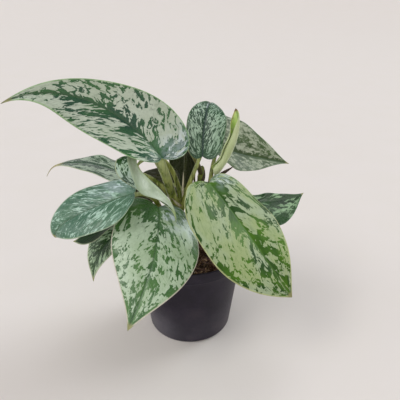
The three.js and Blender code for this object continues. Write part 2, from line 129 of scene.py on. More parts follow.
# Petioles: usual reach past the notch, part of the radius on the blade's side, room to the blade,
# place, width and height of the knee, start and depth of the neck behind it, depth and width of the
# groove. The run under the midrib: its points, its part of the midrib, last radius and room to it.
PETIOLE_REACH = 4.5
PETIOLE_NEAR_SIDE = 0.6
PETIOLE_ROOM = 0.3
KNEE = (0.9, 0.05, 0.10)
NECK = (0.93, 0.35)
GROOVE = (0.10, 0.5)
RUN_ON_POINTS = 6
RUN_ON_SPAN = (0.02, 0.14)
RUN_ON_RADIUS = 0.4
RUN_ON_ROOM = 0.35

# Potting mix: room to the pot, how the mound sinks to its edge and in the last millimetres of it,
# height of the shoulder under the top, heights of the fine lumps. Numbers of crumbs and fibres, the
# share of small crumbs, ranges of the sizes, points of a fibre.
SOIL_ROOM = 0.3
MOUND_SINK = 1.2
EDGE_SINK = 1.0
EDGE_WIDTH = 3
SHOULDER_DEPTH = 8
SOIL_FINE_LUMPS = (0.7, 0.45)
SOIL_CRUMBS = 900
SOIL_FIBRES = 160
SMALL_CRUMB_SHARE = 0.85
SMALL_CRUMB = (0.5, 1.5)
BIG_CRUMB = (1.5, 2.6)
FIBRE_LENGTH = (3, 9)
FIBRE_RADIUS = (0.12, 0.22)
FIBRE_POINTS = 9

# Surfaces: weight of the finest grain at the silver's rim, reach of the green collar at a blade's base
# as a part of its length, and colours.
FINE_WEIGHT = 0.18
COLLAR_REACH = 0.07
SHEEN_TINT = (205, 225, 240)
# Tint of the painted highlight: a bluish-white sheen painted into the leaves' colour.
PAINTED_HIGHLIGHT_TINT = (214, 226, 236)
FLOOR_TONES = ((225, 218, 213), (226, 219, 215))

# Camera in millimetres and degrees. Floor: radii of its flat rings, then radius and degrees of the
# curve at its edge. Lights: the direction that each comes from, its spread in degrees, its strength
# and its colour.
CAMERA_PLACE = (9.9, -333, 289)
CAMERA_PITCH = 26
CAMERA_ANGLE = 50
FLOOR_RINGS = (60, 200, 600, 1600, 3000)
FLOOR_SWEEP = 9000
FLOOR_SWEEP_ANGLE = 52
WORLD_COLOUR = (0.93, 0.94, 0.96, 1)
WORLD_STRENGTH = 0.42
LIGHTS = [
    ("key", (-0.9, -0.7, 1.3), 24, 0.8, (1.0, 0.98, 0.95)),
    ("window", (0.78, 0.46, 0.46), 30, 1.5, (0.90, 0.96, 1.0)),
    ("left", (-1.3, -0.2, 0.6), 30, 0.5, (0.94, 0.98, 1.0)),
    ("front", (0.0, -1.4, 0.8), 30, 0.45, (1.0, 0.98, 0.97)),
    ("top", (0.0, 0.5, 1.5), 30, 0.35, (1.0, 1.0, 1.0)),
]


# ---------------------------------------------------------------------------------- the plant

# Stems: control points of the axis, and the radii at its ends.
Stem = namedtuple("Stem", "axis radius")
STEMS = {
    "stem_left": Stem([[-22, -4, 40], [-22, -3, 62], [-23, -2, 84], [-23, -1, 107]], [3.4, 2.9]),
    "stem_centre": Stem([[-3, 4, 40], [-4, 4, 66], [-6, 4, 92], [-8, 3, 119]], [3.6, 3.0]),
    "stem_right": Stem([[21, -1, 40], [20, -1, 64], [19, -2, 90], [17, -2, 114]], [3.4, 2.8]),
    "stem_rear": Stem([[4, 21, 40], [3, 20, 72], [6, 19, 112], [12, 21, 150]], [3.4, 2.6]),
}

# Dry sheaths left at the petioles' feet: the stem that carries one, control points of its middle
# line, half of its width, and how dark it is. Flatness: thickness as a part of the width.
SHEATH_FLATNESS = 0.2
SHEATHS = [
    ("stem_centre", [[-5, 2, 128], [-5, 0, 138], [-4, -2, 146], [-4, -1, 153]], 0.9, 0.0),
    ("stem_centre", [[-6, 1, 121], [-8, -6, 124], [-10, -9, 128], [-14, -9, 133]], 1.5, 0.4),
    ("stem_right", [[18, 7, 138], [24, 9, 145], [32, 12, 148], [39, 12, 153]], 2.2, 1.0),
    ("stem_rear", [[9, 20, 132], [13, 17, 136], [14, 16, 142], [14, 17, 148]], 1.8, 0.95),
    ("stem_rear", [[6, 20, 130], [4, 16, 138], [5, 16, 147], [8, 18, 152]], 1.8, 0.9),
    ("stem_left", [[-24, -3, 104], [-28, -7, 112], [-29, -8, 118], [-27, -8, 124]], 1.6, 0.7),
]

# Petioles: the stem and the part of its height, the inner control points, the radii at the ends, and
# how far past the blade's notch a petiole meets the midrib.
Petiole = namedtuple("Petiole", "stem along via radius reach", defaults=[PETIOLE_REACH])

# Leaves. Their form, as in the CAD part; pairs are [left, right], seen from base to tip:
# rib: control points of the midrib. face: direction of the upper face at the base and at the tip.
# half: greatest width of each side. fold: degrees that a side rises from the midrib.
# arch: degrees that a side bends down in 10 mm. lobe, widest, shoulder, taper, point: outline.
# wave: height and number of the waves along the edge.
# Their relief and look, in mm where it is a length:
# brown: how brown the petiole is; the two at the rear are made browner and darker as painted shade, since
# they stand in shadow.
# veins: side veins on one side. sweep: how far they run towards the tip.
# uneven, frill: height of the dents and of the edge's small waves. hook: how far the tip hangs down.
# green, silver: two tones each. mottle: tone that faint clouds multiply in.
# patch, slant: size of a silver patch; a slant under 1 draws it out along the veins.
# dot, lean: the same for the small flecks. broad, fleck: weights of the patches and of the flecks.
# level, tip_level: how much silver, and how much more at the tip. soft: softness of a patch's rim.
# smudge: how far green flecks show through the silver.
# band, rib_green: reach and strength of the green zone at the midrib.
# spur, spur_reach, spur_green: size, reach and strength of the green spurs along it.
# edge_reach, edge_green: green zone at the edge. collar: green zone at the base, which on the front
# centre leaf also stands for painted shade under the folded leaf.
# the painted highlight: side, place along the midrib, reach and strength of a bluish-white sheen painted
# into the colour.
# edge_line, rib_line: colour and strength. tip: its colour, and where it starts.
# below, below_rib: two tones of the underside, and the tone of its ribs.
# rough, gloss, sheen: roughness of the green, strengths of the gloss and of the satin sheen.
USUAL_LEAF = dict(
    lobe=[0.12, 0.12], shoulder=[0.3, 0.3], taper=[0.8, 0.8], wave=[1.0, 2.5], brown=0.15,
    seed=1, veins=15, uneven=0.35, frill=0.35, patch=7.0, slant=0.8, lean=0.55, sweep=0.5,
    broad=0.6, fleck=0.7, dot=2.6, level=0.06, tip_level=0.0, soft=0.035, smudge=0.22, band=1.6,
    rib_green=0.3, spur=4.0, spur_reach=9.0, spur_green=0.3, edge_reach=3.0, edge_green=0.2,
    collar=0.1, hook=0.0, rough=0.17, gloss=0.5, sheen=0.15,
    green=((66, 104, 70), (86, 124, 80)), silver=((172, 190, 162), (160, 180, 152)),
    mottle=(200, 205, 195), below=((146, 168, 130), (160, 180, 142)),
    below_rib=(176, 192, 150), edge_line=((190, 200, 165), 0.7),
    rib_line=((62, 88, 58), 0.5), tip=((150, 150, 100), 0.94), bloom=(1, 0.0, 0.2, 0.0),
)


def described(**own):
    """A leaf's values, with the usual ones where it has none of its own."""
    return SimpleNamespace(**{**USUAL_LEAF, **own})


LEAVES = {
    "leaf_upper_left": described(
        rib=[[-20, -19, 172], [-37, -10, 196], [-81, -19, 239], [-124, -46, 221]],
        face=[[0.8, -0.6, 0.2], [-0.5, -0.9, 0.2]],
        half=[24, 31], fold=[14, 16], arch=[0, -4],
        lobe=[0.04, 0.13], widest=[0.41, 0.18], shoulder=[0.35, 0.19], taper=[0.77, 0.73], point=0.22,
        petiole=Petiole("stem_centre", 0.96, [[-16, 0, 130], [-15, -14, 152]], [3.8, 4.2]),
        seed=11, level=0.08, tip_level=0.34, soft=0.022,
        green=((38, 80, 58), (58, 108, 60)), silver=((198, 210, 192), (184, 198, 176)),
        edge_line=((150, 185, 130), 0.75), bloom=(1, -0.02, 0.2, 0.8),
    ),
    "leaf_top_centre": described(
        rib=[[12, 4, 165], [12, 10, 187], [16, 17, 208], [19, 34, 203]],
        face=[[0.1, -0.9, 0.4], [0.1, -0.3, 1]],
        half=[15, 18], fold=[15, 10], arch=[9, 8],
        lobe=[0.06, 0.08], widest=[0.42, 0.42], shoulder=[0.21, 0.29], taper=[0.87, 0.87], point=0.19,
        wave=[0.8, 2.0],
        petiole=Petiole("stem_centre", 0.9, [[-4, 0, 132], [5, 6, 150]], [2.6, 1.5]),
        seed=12, patch=5.0, slant=0.6, lean=0.6, broad=0.4, fleck=1.1, dot=1.2, level=0.03,
        rib_green=0.25, spur_green=0.05,
        green=((36, 70, 46), (50, 88, 56)), silver=((172, 196, 174), (152, 182, 156)),
        edge_line=((110, 140, 100), 0.5), rib_line=((30, 58, 52), 0.9),
        bloom=(1, 0.9, 0.3, 0.2),
    ),
    "leaf_rolled_new": described(
        rib=[[22, 7, 146], [36, 5, 162], [46, 3, 190], [38, 5, 205]],
        face=[[-0.9, -0.1, 0.3], [-0.6, -0.7, 0.3]],
        half=[12.5, 11], fold=[0, 0], arch=[-155, -198],
        lobe=[-0.04, -0.04], widest=[0.32, 0.3], shoulder=[0.35, 0.35], taper=[0.9, 0.9], point=0.45,
        petiole=Petiole("stem_right", 0.97, [[16, 1, 128], [17, 8, 136]], [2.8, 1.7], reach=-0.4),
        seed=13, uneven=0.1, frill=0.1, patch=4.0,
        green=((220, 240, 156), (184, 218, 114)), silver=((176, 196, 130), (186, 200, 140)),
        below=((178, 192, 140), (200, 210, 166)), below_rib=(190, 204, 140),
        edge_line=((170, 160, 90), 0.8), tip=((110, 84, 48), 0.95),
    ),
    "leaf_back_right": described(
        rib=[[24, 29, 167], [42, 47, 149], [71, 57, 145], [98, 65, 135]],
        face=[[0.1, -0.6, 0.8], [0.1, -0.7, 0.7]],
        half=[34, 22], fold=[15, 12], arch=[0, 0],
        lobe=[0.14, 0.12], widest=[0.27, 0.22], point=0.14,
        petiole=Petiole("stem_right", 0.84, [[16, 8, 136], [21, 19, 156]], [2.6, 1.5]),
        seed=14, patch=11.0, slant=1.2, lean=1.1, sweep=0.2, fleck=0.5, dot=3.2, level=0.05,
        tip_level=0.15, soft=0.1, rough=0.32, gloss=0.3, sheen=0.03,
        green=((58, 80, 40), (72, 96, 50)), silver=((172, 180, 156), (158, 168, 142)),
        edge_line=((120, 140, 104), 0.5),
    ),
    "leaf_front_right": described(
        rib=[[17, -17, 150], [40, -33, 128], [61, -76, 110], [81, -68, 76]],
        face=[[0.5, -0.3, 0.8], [0.5, -0.9, 0.2]],
        half=[33, 46], fold=[13, 12], arch=[6, 4],
        lobe=[0.06, 0.11], widest=[0.31, 0.37], point=0.33,
        petiole=Petiole("stem_right", 0.9, [[12, -3, 128], [9, -10, 143]], [3.4, 2.2]),
        seed=31, patch=9.0, slant=0.7, lean=0.95, sweep=0.3, broad=0.75, fleck=0.68, level=0.08,
        tip_level=0.08, soft=0.025, smudge=0.2, spur=5.0, spur_reach=12.0, spur_green=0.5,
        edge_green=0.16, collar=0.0, rough=0.36, gloss=0.22, sheen=0.03,
        green=((36, 72, 16), (74, 116, 22)), silver=((160, 176, 142), (156, 172, 120)),
        mottle=(212, 214, 190), below=((158, 184, 120), (170, 192, 132)),
        edge_line=((188, 194, 138), 0.75), rib_line=((92, 130, 60), 0.5),
        bloom=(-1, 0.02, 0.12, 0.6),
    ),
    "leaf_low_right": described(
        rib=[[41, 10, 122], [65, 0, 123], [83, -3, 127], [99, 1, 133]],
        face=[[0.1, -0.3, 1], [0.2, -0.7, 0.7]],
        half=[8, 30], fold=[8, 10], arch=[0, 0],
        widest=[0.34, 0.39], point=0.16,
        petiole=Petiole("stem_right", 0.78, [[22, 6, 108], [32, 13, 116]], [2.4, 1.4]),
        seed=16, patch=11.0, slant=1.1, lean=1.0, sweep=0.3, broad=0.9, fleck=0.5, level=0.03,
        soft=0.08,
        green=((20, 50, 20), (40, 78, 34)), silver=((154, 186, 146), (136, 168, 128)),
        edge_line=((96, 130, 96), 0.4),
    ),
    "leaf_front_centre": described(
        rib=[[-25, -13, 126], [-20, -44, 115], [-27, -74, 97], [-43, -94, 66]],
        face=[[0.4, -0.4, 0.9], [-0.3, -0.9, 0.4]],
        half=[36, 36], fold=[4, 8], arch=[9, 8],
        lobe=[0.1, 0.13], widest=[0.33, 0.33], point=0.3,
        petiole=Petiole("stem_left", 0.8, [[-24, -1, 108], [-24, -5, 118]], [3.2, 2.0]),
        seed=17, patch=8.0, lean=0.8, sweep=0.4, broad=0.75, dot=3.2, level=0.09, soft=0.022,
        # The strong collar is partly painted shade: the folded leaf shades this leaf's base.
        rib_green=0.16, spur_green=0.22, edge_green=0.26, collar=0.35,
        green=((62, 104, 54), (84, 126, 66)), silver=((186, 206, 178), (172, 194, 160)),
        edge_line=((214, 206, 190), 0.85), bloom=(-1, 0.0, 0.36, 1.0),
    ),
    "leaf_left": described(
        rib=[[-42, -28, 146], [-66, -22, 136], [-108, -36, 126], [-108, -32, 108]],
        face=[[0.2, -0.4, 0.9], [-0.2, -0.7, 0.7]],
        half=[23, 22], fold=[13, 6], arch=[10, 9],
        lobe=[0.07, 0.05], widest=[0.33, 0.39], shoulder=[0.36, 0.19], taper=[0.87, 0.9], point=0.4,
        wave=[0.8, 2.0],
        petiole=Petiole("stem_left", 0.97, [[-24, -1, 127], [-31, -11, 142]], [2.8, 1.6]),
        seed=18, patch=8.0, lean=0.5, sweep=0.6, broad=0.8, fleck=0.9, dot=1.6, level=-0.06, soft=0.06,
        rib_green=0.08, spur_green=0.05, edge_green=0.1, sheen=0.35,
        green=((68, 110, 86), (78, 118, 90)), silver=((178, 208, 192), (168, 202, 182)),
        edge_line=((170, 190, 160), 0.7), bloom=(1, 0.18, 0.3, 0.75),
    ),
    "leaf_far_left": described(
        rib=[[-54, 20, 141], [-69, 10, 153], [-93, 13, 163], [-123, 10, 151]],
        face=[[0, -0.2, 1], [0, 0.1, 1]],
        half=[23, 20], fold=[9, 3], arch=[4, 2],
        lobe=[0.13, 0.12], widest=[0.35, 0.33], point=0.11,
        petiole=Petiole("stem_centre", 0.88, [[-18, 4, 142], [-42, 22, 148]], [2.5, 1.4]),
        seed=19, patch=8.5, slant=1.2, lean=1.0, broad=0.8, fleck=0.5, level=0.05, soft=0.03, hook=6.5,
        green=((44, 72, 52), (56, 86, 56)), silver=((164, 178, 158), (152, 170, 146)),
        tip=((162, 152, 84), 0.8),
    ),
    "leaf_folded_young": described(
        rib=[[-40, -23, 172], [-41, -35, 163], [-7, -27, 145], [-9, -41, 127]],
        face=[[-0.7, 0.1, 0.7], [-0.6, -0.3, -0.7]],
        half=[13, 16], fold=[53, 51], arch=[1, 3],
        lobe=[0.07, 0.13], widest=[0.31, 0.2], shoulder=[0.28, 0.32], taper=[0.6, 0.76], point=0.13,
        petiole=Petiole("stem_centre", 0.93, [[-5, 12, 144], [-24, 12, 178]], [2.5, 1.4]),
        seed=20, patch=4.5, slant=1.0, lean=1.2, sweep=0.1, broad=0.4, fleck=0.9, dot=2.2, level=0.08,
        soft=0.03, gloss=0.2, sheen=0.05,
        green=((34, 70, 34), (48, 86, 44)), silver=((178, 202, 182), (168, 194, 168)),
        # The two underside tones lie far apart partly as a painted highlight and painted shade on the
        # curled strip.
        below=((122, 146, 104), (220, 232, 214)), below_rib=(186, 204, 170),
        tip=((164, 184, 130), 0.8), bloom=(1, 0.2, 0.4, 0.2),
    ),
    "leaf_under_left": described(
        rib=[[-49, 4, 108], [-67, -11, 109], [-81, -25, 102], [-100, -15, 94]],
        face=[[-0.4, 0.2, 0.9], [-0.6, -0.4, 0.7]],
        half=[21, 18], fold=[12, 8], arch=[0, 2],
        widest=[0.32, 0.35], point=0.21,
        petiole=Petiole("stem_left", 0.76, [[-27, 6, 101], [-40, 10, 104]], [2.4, 1.4]),
        seed=21, level=-0.02, soft=0.06, rough=0.5, gloss=0.2, sheen=0.0,
        # Dark tones, the silver too: partly painted shade, since this leaf lies in shadow under the left
        # leaf.
        green=((34, 58, 34), (44, 72, 44)), silver=((84, 112, 86), (76, 104, 80)),
    ),
    "leaf_hanging_left": described(
        rib=[[-46, 14, 94], [-62, 2, 99], [-85, -15, 87], [-84, -25, 59]],
        face=[[-0.5, -0.3, 0.8], [-0.5, -0.8, 0.3]],
        half=[17, 19], fold=[12, 14], arch=[1, 4],
        widest=[0.44, 0.38], shoulder=[0.29, 0.31], taper=[0.89, 0.82], point=0.2,
        petiole=Petiole("stem_left", 0.66, [[-28, 9, 90], [-39, 18, 94]], [2.4, 1.4]),
        seed=22, patch=5.0, fleck=0.9, dot=1.5, level=0.04, tip_level=0.2, soft=0.05,
        green=((40, 70, 34), (52, 84, 42)), silver=((172, 198, 160), (158, 184, 150)),
    ),
    "leaf_rear_upper": described(
        rib=[[-2, 22, 166], [-2, 38, 174], [-4, 54, 146], [-7, 57, 96]],
        face=[[0, -0.2, 1], [0.1, 0.9, 0.3]],
        half=[17, 13], fold=[10, 10], arch=[6, 6],
        widest=[0.4, 0.4], shoulder=[0.35, 0.35], taper=[0.92, 0.92], point=0.5,
        petiole=Petiole("stem_rear", 0.93, [[8, 16, 156], [3, 14, 164]], [2.4, 1.5]), brown=0.9,
        seed=23, level=0,
        # Very dark tones on both faces: painted shade, since this leaf hangs deep in shadow behind the
        # petioles.
        green=((40, 62, 40), (50, 74, 46)), silver=((92, 112, 84), (84, 104, 76)),
        below=((52, 58, 36), (66, 72, 44)), below_rib=(84, 88, 54),
    ),
    "leaf_rear_low": described(
        rib=[[20, 32, 118], [30, 46, 120], [42, 64, 108], [48, 76, 84]],
        face=[[0, -0.2, 1], [0.4, 0.6, 0.7]],
        half=[19, 19], fold=[10, 10], arch=[6, 6],
        widest=[0.32, 0.32], point=0.15,
        petiole=Petiole("stem_rear", 0.55, [[7, 24, 108], [14, 28, 114]], [2.5, 1.4]), brown=0.6,
        seed=24, level=0,
        green=((56, 92, 60), (70, 106, 70)),
    ),
    "leaf_rear_left": described(
        rib=[[-12, 36, 126], [-26, 42, 128], [-44, 44, 114], [-56, 42, 86]],
        face=[[0, 0.9, 0.4], [-0.3, 0.9, 0.2]],
        half=[22, 20], fold=[10, 10], arch=[6, 6],
        widest=[0.32, 0.32], point=0.15,
        petiole=Petiole("stem_rear", 0.72, [[2, 21, 120], [-7, 25, 128]], [2.5, 1.4]),
        seed=25, level=0,
        # Very dark tones on both faces: painted shade for the shadowed gap behind the petioles.
        green=((44, 66, 42), (54, 78, 48)), silver=((96, 114, 84), (86, 104, 76)),
        below=((58, 64, 38), (74, 78, 46)), below_rib=(92, 94, 56),
    ),
}


# ---------------------------------------------------------------------------------- curves


def unit(vectors):
    vectors = np.asarray(vectors, float)
    return vectors / np.maximum(np.linalg.norm(vectors, axis=-1, keepdims=True), 1e-9)


def bezier(points, t):
    points = np.asarray(points, float)
    t = np.asarray(t, float)[..., None]
    s = 1 - t
    return s**3 * points[0] + 3 * s * s * t * points[1] + 3 * s * t * t * points[2] + t**3 * points[3]


def bezier_slope(points, t):
    points = np.asarray(points, float)
    t = np.asarray(t, float)[..., None]
    s = 1 - t
    steps = points[1:] - points[:-1]
    return 3 * (s * s * steps[0] + 2 * s * t * steps[1] + t * t * steps[2])


def hump(values, middle, width):
    """A bell curve that is 1 at the middle."""
    return np.exp(-(((values - middle) / width) ** 2))


def ripples(seed, *coordinates):
    """Smooth seeded noise in about -1..1, a sum of sines over the given coordinates."""
    draw = random.Random(seed)
    total = 0
    for _ in range(5):
        angle = draw.uniform(0, 2 * math.pi)
        for values in coordinates:
            angle = angle + draw.uniform(-1.6, 1.6) * values
        total = total + np.sin(angle)
    return total / 3


# ---------------------------------------------------------------------------------- meshes


def add_object(name, data):
    made = bpy.data.objects.new(name, data)
    bpy.context.scene.collection.objects.link(made)
    return made


def make_object(name, vertices, faces, attributes=None):
    """A smooth mesh object from millimetre points, with doubled points joined and faces outward."""
    mesh = bpy.data.meshes.new(name)
    mesh.from_pydata((np.asarray(vertices) * MM).tolist(), [], faces)
    for key, values in (attributes or {}).items():
        is_vector = values.ndim == 2
        made = mesh.attributes.new(key, "FLOAT_VECTOR" if is_vector else "FLOAT", "POINT")
        made.data.foreach_set("vector" if is_vector else "value", values.astype(np.float32).ravel())
    build = bmesh.new()
    build.from_mesh(mesh)
    bmesh.ops.remove_doubles(build, verts=build.verts, dist=JOIN_DISTANCE)
    bmesh.ops.dissolve_degenerate(build, edges=build.edges, dist=JOIN_DISTANCE)
    bmesh.ops.recalc_face_normals(build, faces=build.faces)
    build.to_mesh(mesh)
    build.free()
    mesh.shade_smooth()
    return add_object(name, mesh)


def finish_piece(piece, material, node):
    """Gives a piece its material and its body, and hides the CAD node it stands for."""
    piece.data.materials.clear()
    piece.data.materials.append(material)
    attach(piece, BODY)
    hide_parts(node)


class Parts:
    """Gathers the points, faces and attribute values of several closed forms into one mesh."""

    def __init__(self):
        self.vertices = []
        self.faces = []
        self.values = {}

    def add(self, vertices, faces, **values):
        start = len(self.vertices)
        self.vertices.extend(np.asarray(vertices, float).tolist())
        self.faces.extend([tuple(start + k for k in face) for face in faces])
        for key, value in values.items():
            filled = np.broadcast_to(np.asarray(value, float), (len(vertices),))
            self.values.setdefault(key, []).extend(filled.tolist())

    def make(self, name):
        attributes = {key: np.array(value) for key, value in self.values.items()}
        return make_object(name, self.vertices, self.faces, attributes)


def turn_steps(sides):
    return np.arange(sides) * 2 * np.pi / sides


def level_rings(profile, sides):
    """Points of the rings round the Z axis that have the profile's radii and heights."""
    angles = turn_steps(sides)
    rings = [np.stack([r * np.cos(angles), r * np.sin(angles), np.full(sides, z)], 1) for r, z in profile]
    return np.concatenate(rings)


def ring_faces(rings, sides, capped=True):
    """Faces between rings of points. The first ring closes on the point that follows all the rings,
    and a capped form's last ring on the point after that."""
    faces = []
    last = (rings - 1) * sides
    for k in range(sides):
        n = (k + 1) % sides
        for i in range(rings - 1):
            faces.append((i * sides + k, i * sides + n, (i + 1) * sides + n, (i + 1) * sides + k))
        faces.append((rings * sides, n, k))
        if capped:
            faces.append((rings * sides + 1, last + k, last + n))
    return faces


def tube(points, radii, sides, flat=1.0, bumps=None):
    """Points and faces of a closed tube along a line of points, with one radius for each point."""
    points = np.asarray(points, float)
    tangents = unit(np.gradient(points, axis=0))
    across = np.cross(tangents[0], [1, 0, 0] if abs(tangents[0][2]) > 0.9 else [0, 0, 1])
    angles = turn_steps(sides)
    rings = []
    for k, tangent in enumerate(tangents):
        across = unit(across - tangent * np.dot(across, tangent))
        other = np.cross(tangent, across)
        grow = 1.0 if bumps is None else bumps(k, angles)
        ring = np.outer(np.cos(angles) * grow, across) + np.outer(np.sin(angles) * grow * flat, other)
        rings.append(points[k] + radii[k] * ring)
    first = points[0] - tangents[0] * radii[0] * 0.5
    last = points[-1] + tangents[-1] * radii[-1] * 0.5
    return np.concatenate(rings + [[first], [last]]), ring_faces(len(points), sides)


# ---------------------------------------------------------------------------------- blades


def by_side(place, pair):
    """The left or the right one of a pair, where right places are above 0."""
    return np.where(place > 0, pair[1], pair[0])


def within(distance, reach):
    """0 at no distance, rising to 1 at the reach."""
    return np.clip(distance / reach, 0, 1)


def outline(leaf, side, t):
    """Outline of one side as parts of the length and of the half width."""
    lobe, widest = leaf.lobe[side], leaf.widest[side]
    first = [[0, 0], [-LOBE_BACK[0] * lobe, LOBE_WIDTH], [-LOBE_BACK[1] * lobe, 1], [widest, 1]]
    shoulder = [widest + leaf.shoulder[side], 1]
    second = [[widest, 1], shoulder, [leaf.taper[side], leaf.point], [1, 0]]
    inner = bezier(first, np.clip(t / LOBE_SHARE, 0, 1))
    outer = bezier(second, np.clip((t - LOBE_SHARE) / (1 - LOBE_SHARE), 0, 1))
    return np.where((t < LOBE_SHARE)[..., None], inner, outer)


def notch_length(leaf):
    """Millimetres that one step of u takes behind the base of the midrib."""
    return NOTCH_STRETCH * np.linalg.norm(bezier_slope(leaf.rib, np.array(0.0)))


def blade_point(leaf, u, v):
    """Points of the blade and their normals, u along the midrib, v a signed part of the half width."""
    u, v = np.broadcast_arrays(np.asarray(u, float), np.asarray(v, float))
    along = np.clip(u, 0, 1)
    tangent = unit(bezier_slope(leaf.rib, along))
    back = np.minimum(u, 0) * notch_length(leaf)
    centre = bezier(leaf.rib, along) + tangent * back[..., None]
    face = unit(leaf.face[0]) * (1 - along)[..., None] + unit(leaf.face[1]) * along[..., None]
    up = unit(face - tangent * np.sum(face * tangent, axis=-1, keepdims=True))
    right = np.cross(tangent, up)
    sign = by_side(v, (-1.0, 1.0))
    reach = np.abs(v) * by_side(v, leaf.half)
    fold = np.radians(by_side(v, leaf.fold))
    bend = np.radians(by_side(v, [value or 0.01 for value in leaf.arch])) / 10
    angle = fold - bend * reach
    out = (np.sin(fold) - np.sin(angle)) / bend
    wave = leaf.wave[0] * np.sin(2 * np.pi * leaf.wave[1] * u + 1) * v * v
    rise = (np.cos(angle) - np.cos(fold)) / bend + wave
    point = centre + right * (sign * out)[..., None] + up * rise[..., None]
    tilted = up * np.cos(angle)[..., None] - right * (sign * np.sin(angle))[..., None]
    return point, np.where((v == 0)[..., None], up, tilted)


def blade_grid(leaf):
    """A grid over the blade: t along the outline, part from -1 at the left edge to 1 at the right,
    the place u, v, half width, and distances from the midrib and from the edge."""
    t = np.linspace(0, 1, BLADE_ROWS + 1)[:, None]
    part = np.linspace(-1, 1, 2 * BLADE_COLUMNS + 1)[None, :]
    middle = np.maximum((t - FIRST_VEINS) / (1 - FIRST_VEINS), 0)
    edges = [outline(leaf, side, t[:, 0])[:, None] for side in (0, 1)]
    edge = by_side(part[..., None], edges)
    u = middle * (1 - np.abs(part)) + edge[..., 0] * np.abs(part)
    v = part * edge[..., 1]
    t, part = np.broadcast_arrays(t, part)
    half = by_side(part, leaf.half)
    from_edge = (1 - np.abs(part)) * edge[..., 1] * half
    from_rib = np.abs(v) * half
    return SimpleNamespace(t=t, part=part, u=u, v=v, half=half, from_rib=from_rib, from_edge=from_edge)


def blade_relief(leaf, grid, length):
    """Heights of the upper face, the lower face and the rim over the blade's middle surface."""
    along, from_rib, from_edge = grid.t * length, grid.from_rib, grid.from_edge
    to_tip = np.clip(1 - grid.u, 0, 1)
    wander = ripples(leaf.seed + 1, grid.t * 7, grid.part * 2)
    vein_gap = length / leaf.veins
    vein_rows = (along - leaf.sweep * from_rib) / vein_gap + 0.35 * wander + 0.5 * (grid.part > 0)
    off_vein = np.abs(vein_rows - np.round(vein_rows)) * vein_gap
    vein = hump(off_vein, 0, VEIN_WIDTH) * within(from_edge, 4) * within(from_rib, 1.5)
    rib = hump(from_rib, 0, RIB_WIDTH[0] + RIB_WIDTH[1] * to_tip) * within(grid.t, 0.08)
    swell = 0.5 - 0.5 * np.cos(2 * np.pi * vein_rows)
    blister = SWELL * swell * within(from_rib, 6) * within(from_edge, 5)
    uneven = ripples(leaf.seed + 2, along / 9, grid.part * grid.half / 9) * within(from_rib, 8)
    frill = ripples(leaf.seed + 3, grid.t * 16) * np.abs(grid.part) ** 4 * within(to_tip, 0.2)
    together = leaf.uneven * uneven + leaf.frill * frill
    half_thickness = BLADE_EDGE / 2 + (BLADE_MIDDLE - BLADE_EDGE) / 2 * within(from_edge, 3) ** 0.5
    upper = half_thickness + together - RIB_SINK * rib - VEIN_SINK * vein + blister
    rib_rise = (RIB_RISE[0] + RIB_RISE[1] * to_tip) * rib
    lower = -half_thickness + together - rib_rise - VEIN_RISE * vein + blister
    return upper, lower, together


def blade_faces(rows, columns, ring):
    """Faces of both sides and of the rim, whose points follow those of the two sides."""
    count = rows * columns
    faces = []
    for i in range(rows - 1):
        for j in range(columns - 1):
            a, b = i * columns + j, i * columns + j + 1
            d, c = a + columns, b + columns
            faces.append((a, b, c, d))
            faces.append((a + count, d + count, c + count, b + count))
    for k in range(len(ring) - 1):
        p, q = ring[k], ring[k + 1]
        m, n = 2 * count + k, 2 * count + k + 1
        faces.append((p, q, n, m))
        faces.append((m, n, q + count, p + count))
    return faces


def make_blade(name, leaf):
    """A thin blade with a sunken midrib, faint side veins, a raised rib below and an uneven edge."""
    grid = blade_grid(leaf)
    line = bezier(leaf.rib, np.linspace(0, 1, 40))
    length = float(np.sum(np.linalg.norm(np.diff(line, axis=0), axis=1)))
    upper, lower, together = blade_relief(leaf, grid, length)
    point, normal = blade_point(leaf, grid.u, grid.v)
    bend = within(grid.u - TIP_HOOK_START, 1 - TIP_HOOK_START) ** 2
    point = point - np.array([0, 0, 1.0]) * (leaf.hook * bend)[..., None]
    outward = unit(np.gradient(point, axis=1)) * np.sign(grid.part)[..., None]
    top, low, rim = [point + normal * height[..., None] for height in (upper, lower, together)]
    rim = rim + outward * RIM_BULGE

    rows, columns = grid.t.shape
    count = rows * columns
    left_edge = [i * columns for i in range(rows)]
    right_edge = [i * columns + columns - 1 for i in reversed(range(rows))]
    ring = left_edge + right_edge

    def on_all(*values):
        """The values of both sides' points and of the rim's."""
        flat = np.stack([np.broadcast_to(value, grid.t.shape).reshape(-1) for value in values], axis=1)
        return np.concatenate([flat, flat, flat[ring]])

    attributes = {
        "grain": on_all(grid.t * length, grid.part * grid.half, leaf.seed * 10.0),
        "place": on_all(grid.from_rib, grid.from_edge, grid.u),
        "facing": np.repeat([1.0, 0.0, 0.5], [count, count, len(ring)]),
    }
    vertices = np.concatenate([top.reshape(-1, 3), low.reshape(-1, 3), rim.reshape(-1, 3)[ring]])
    return make_object(name, vertices, blade_faces(rows, columns, ring), attributes)


# ---------------------------------------------------------------------------------- materials


def linear_colour(*levels):
    """The linear colour with the given 0..255 screen values."""
    parts = [level / 255 for level in levels]
    linear = [part / 12.92 if part <= 0.04045 else ((part + 0.055) / 1.055) ** 2.4 for part in parts]
    return (*linear, 1.0)


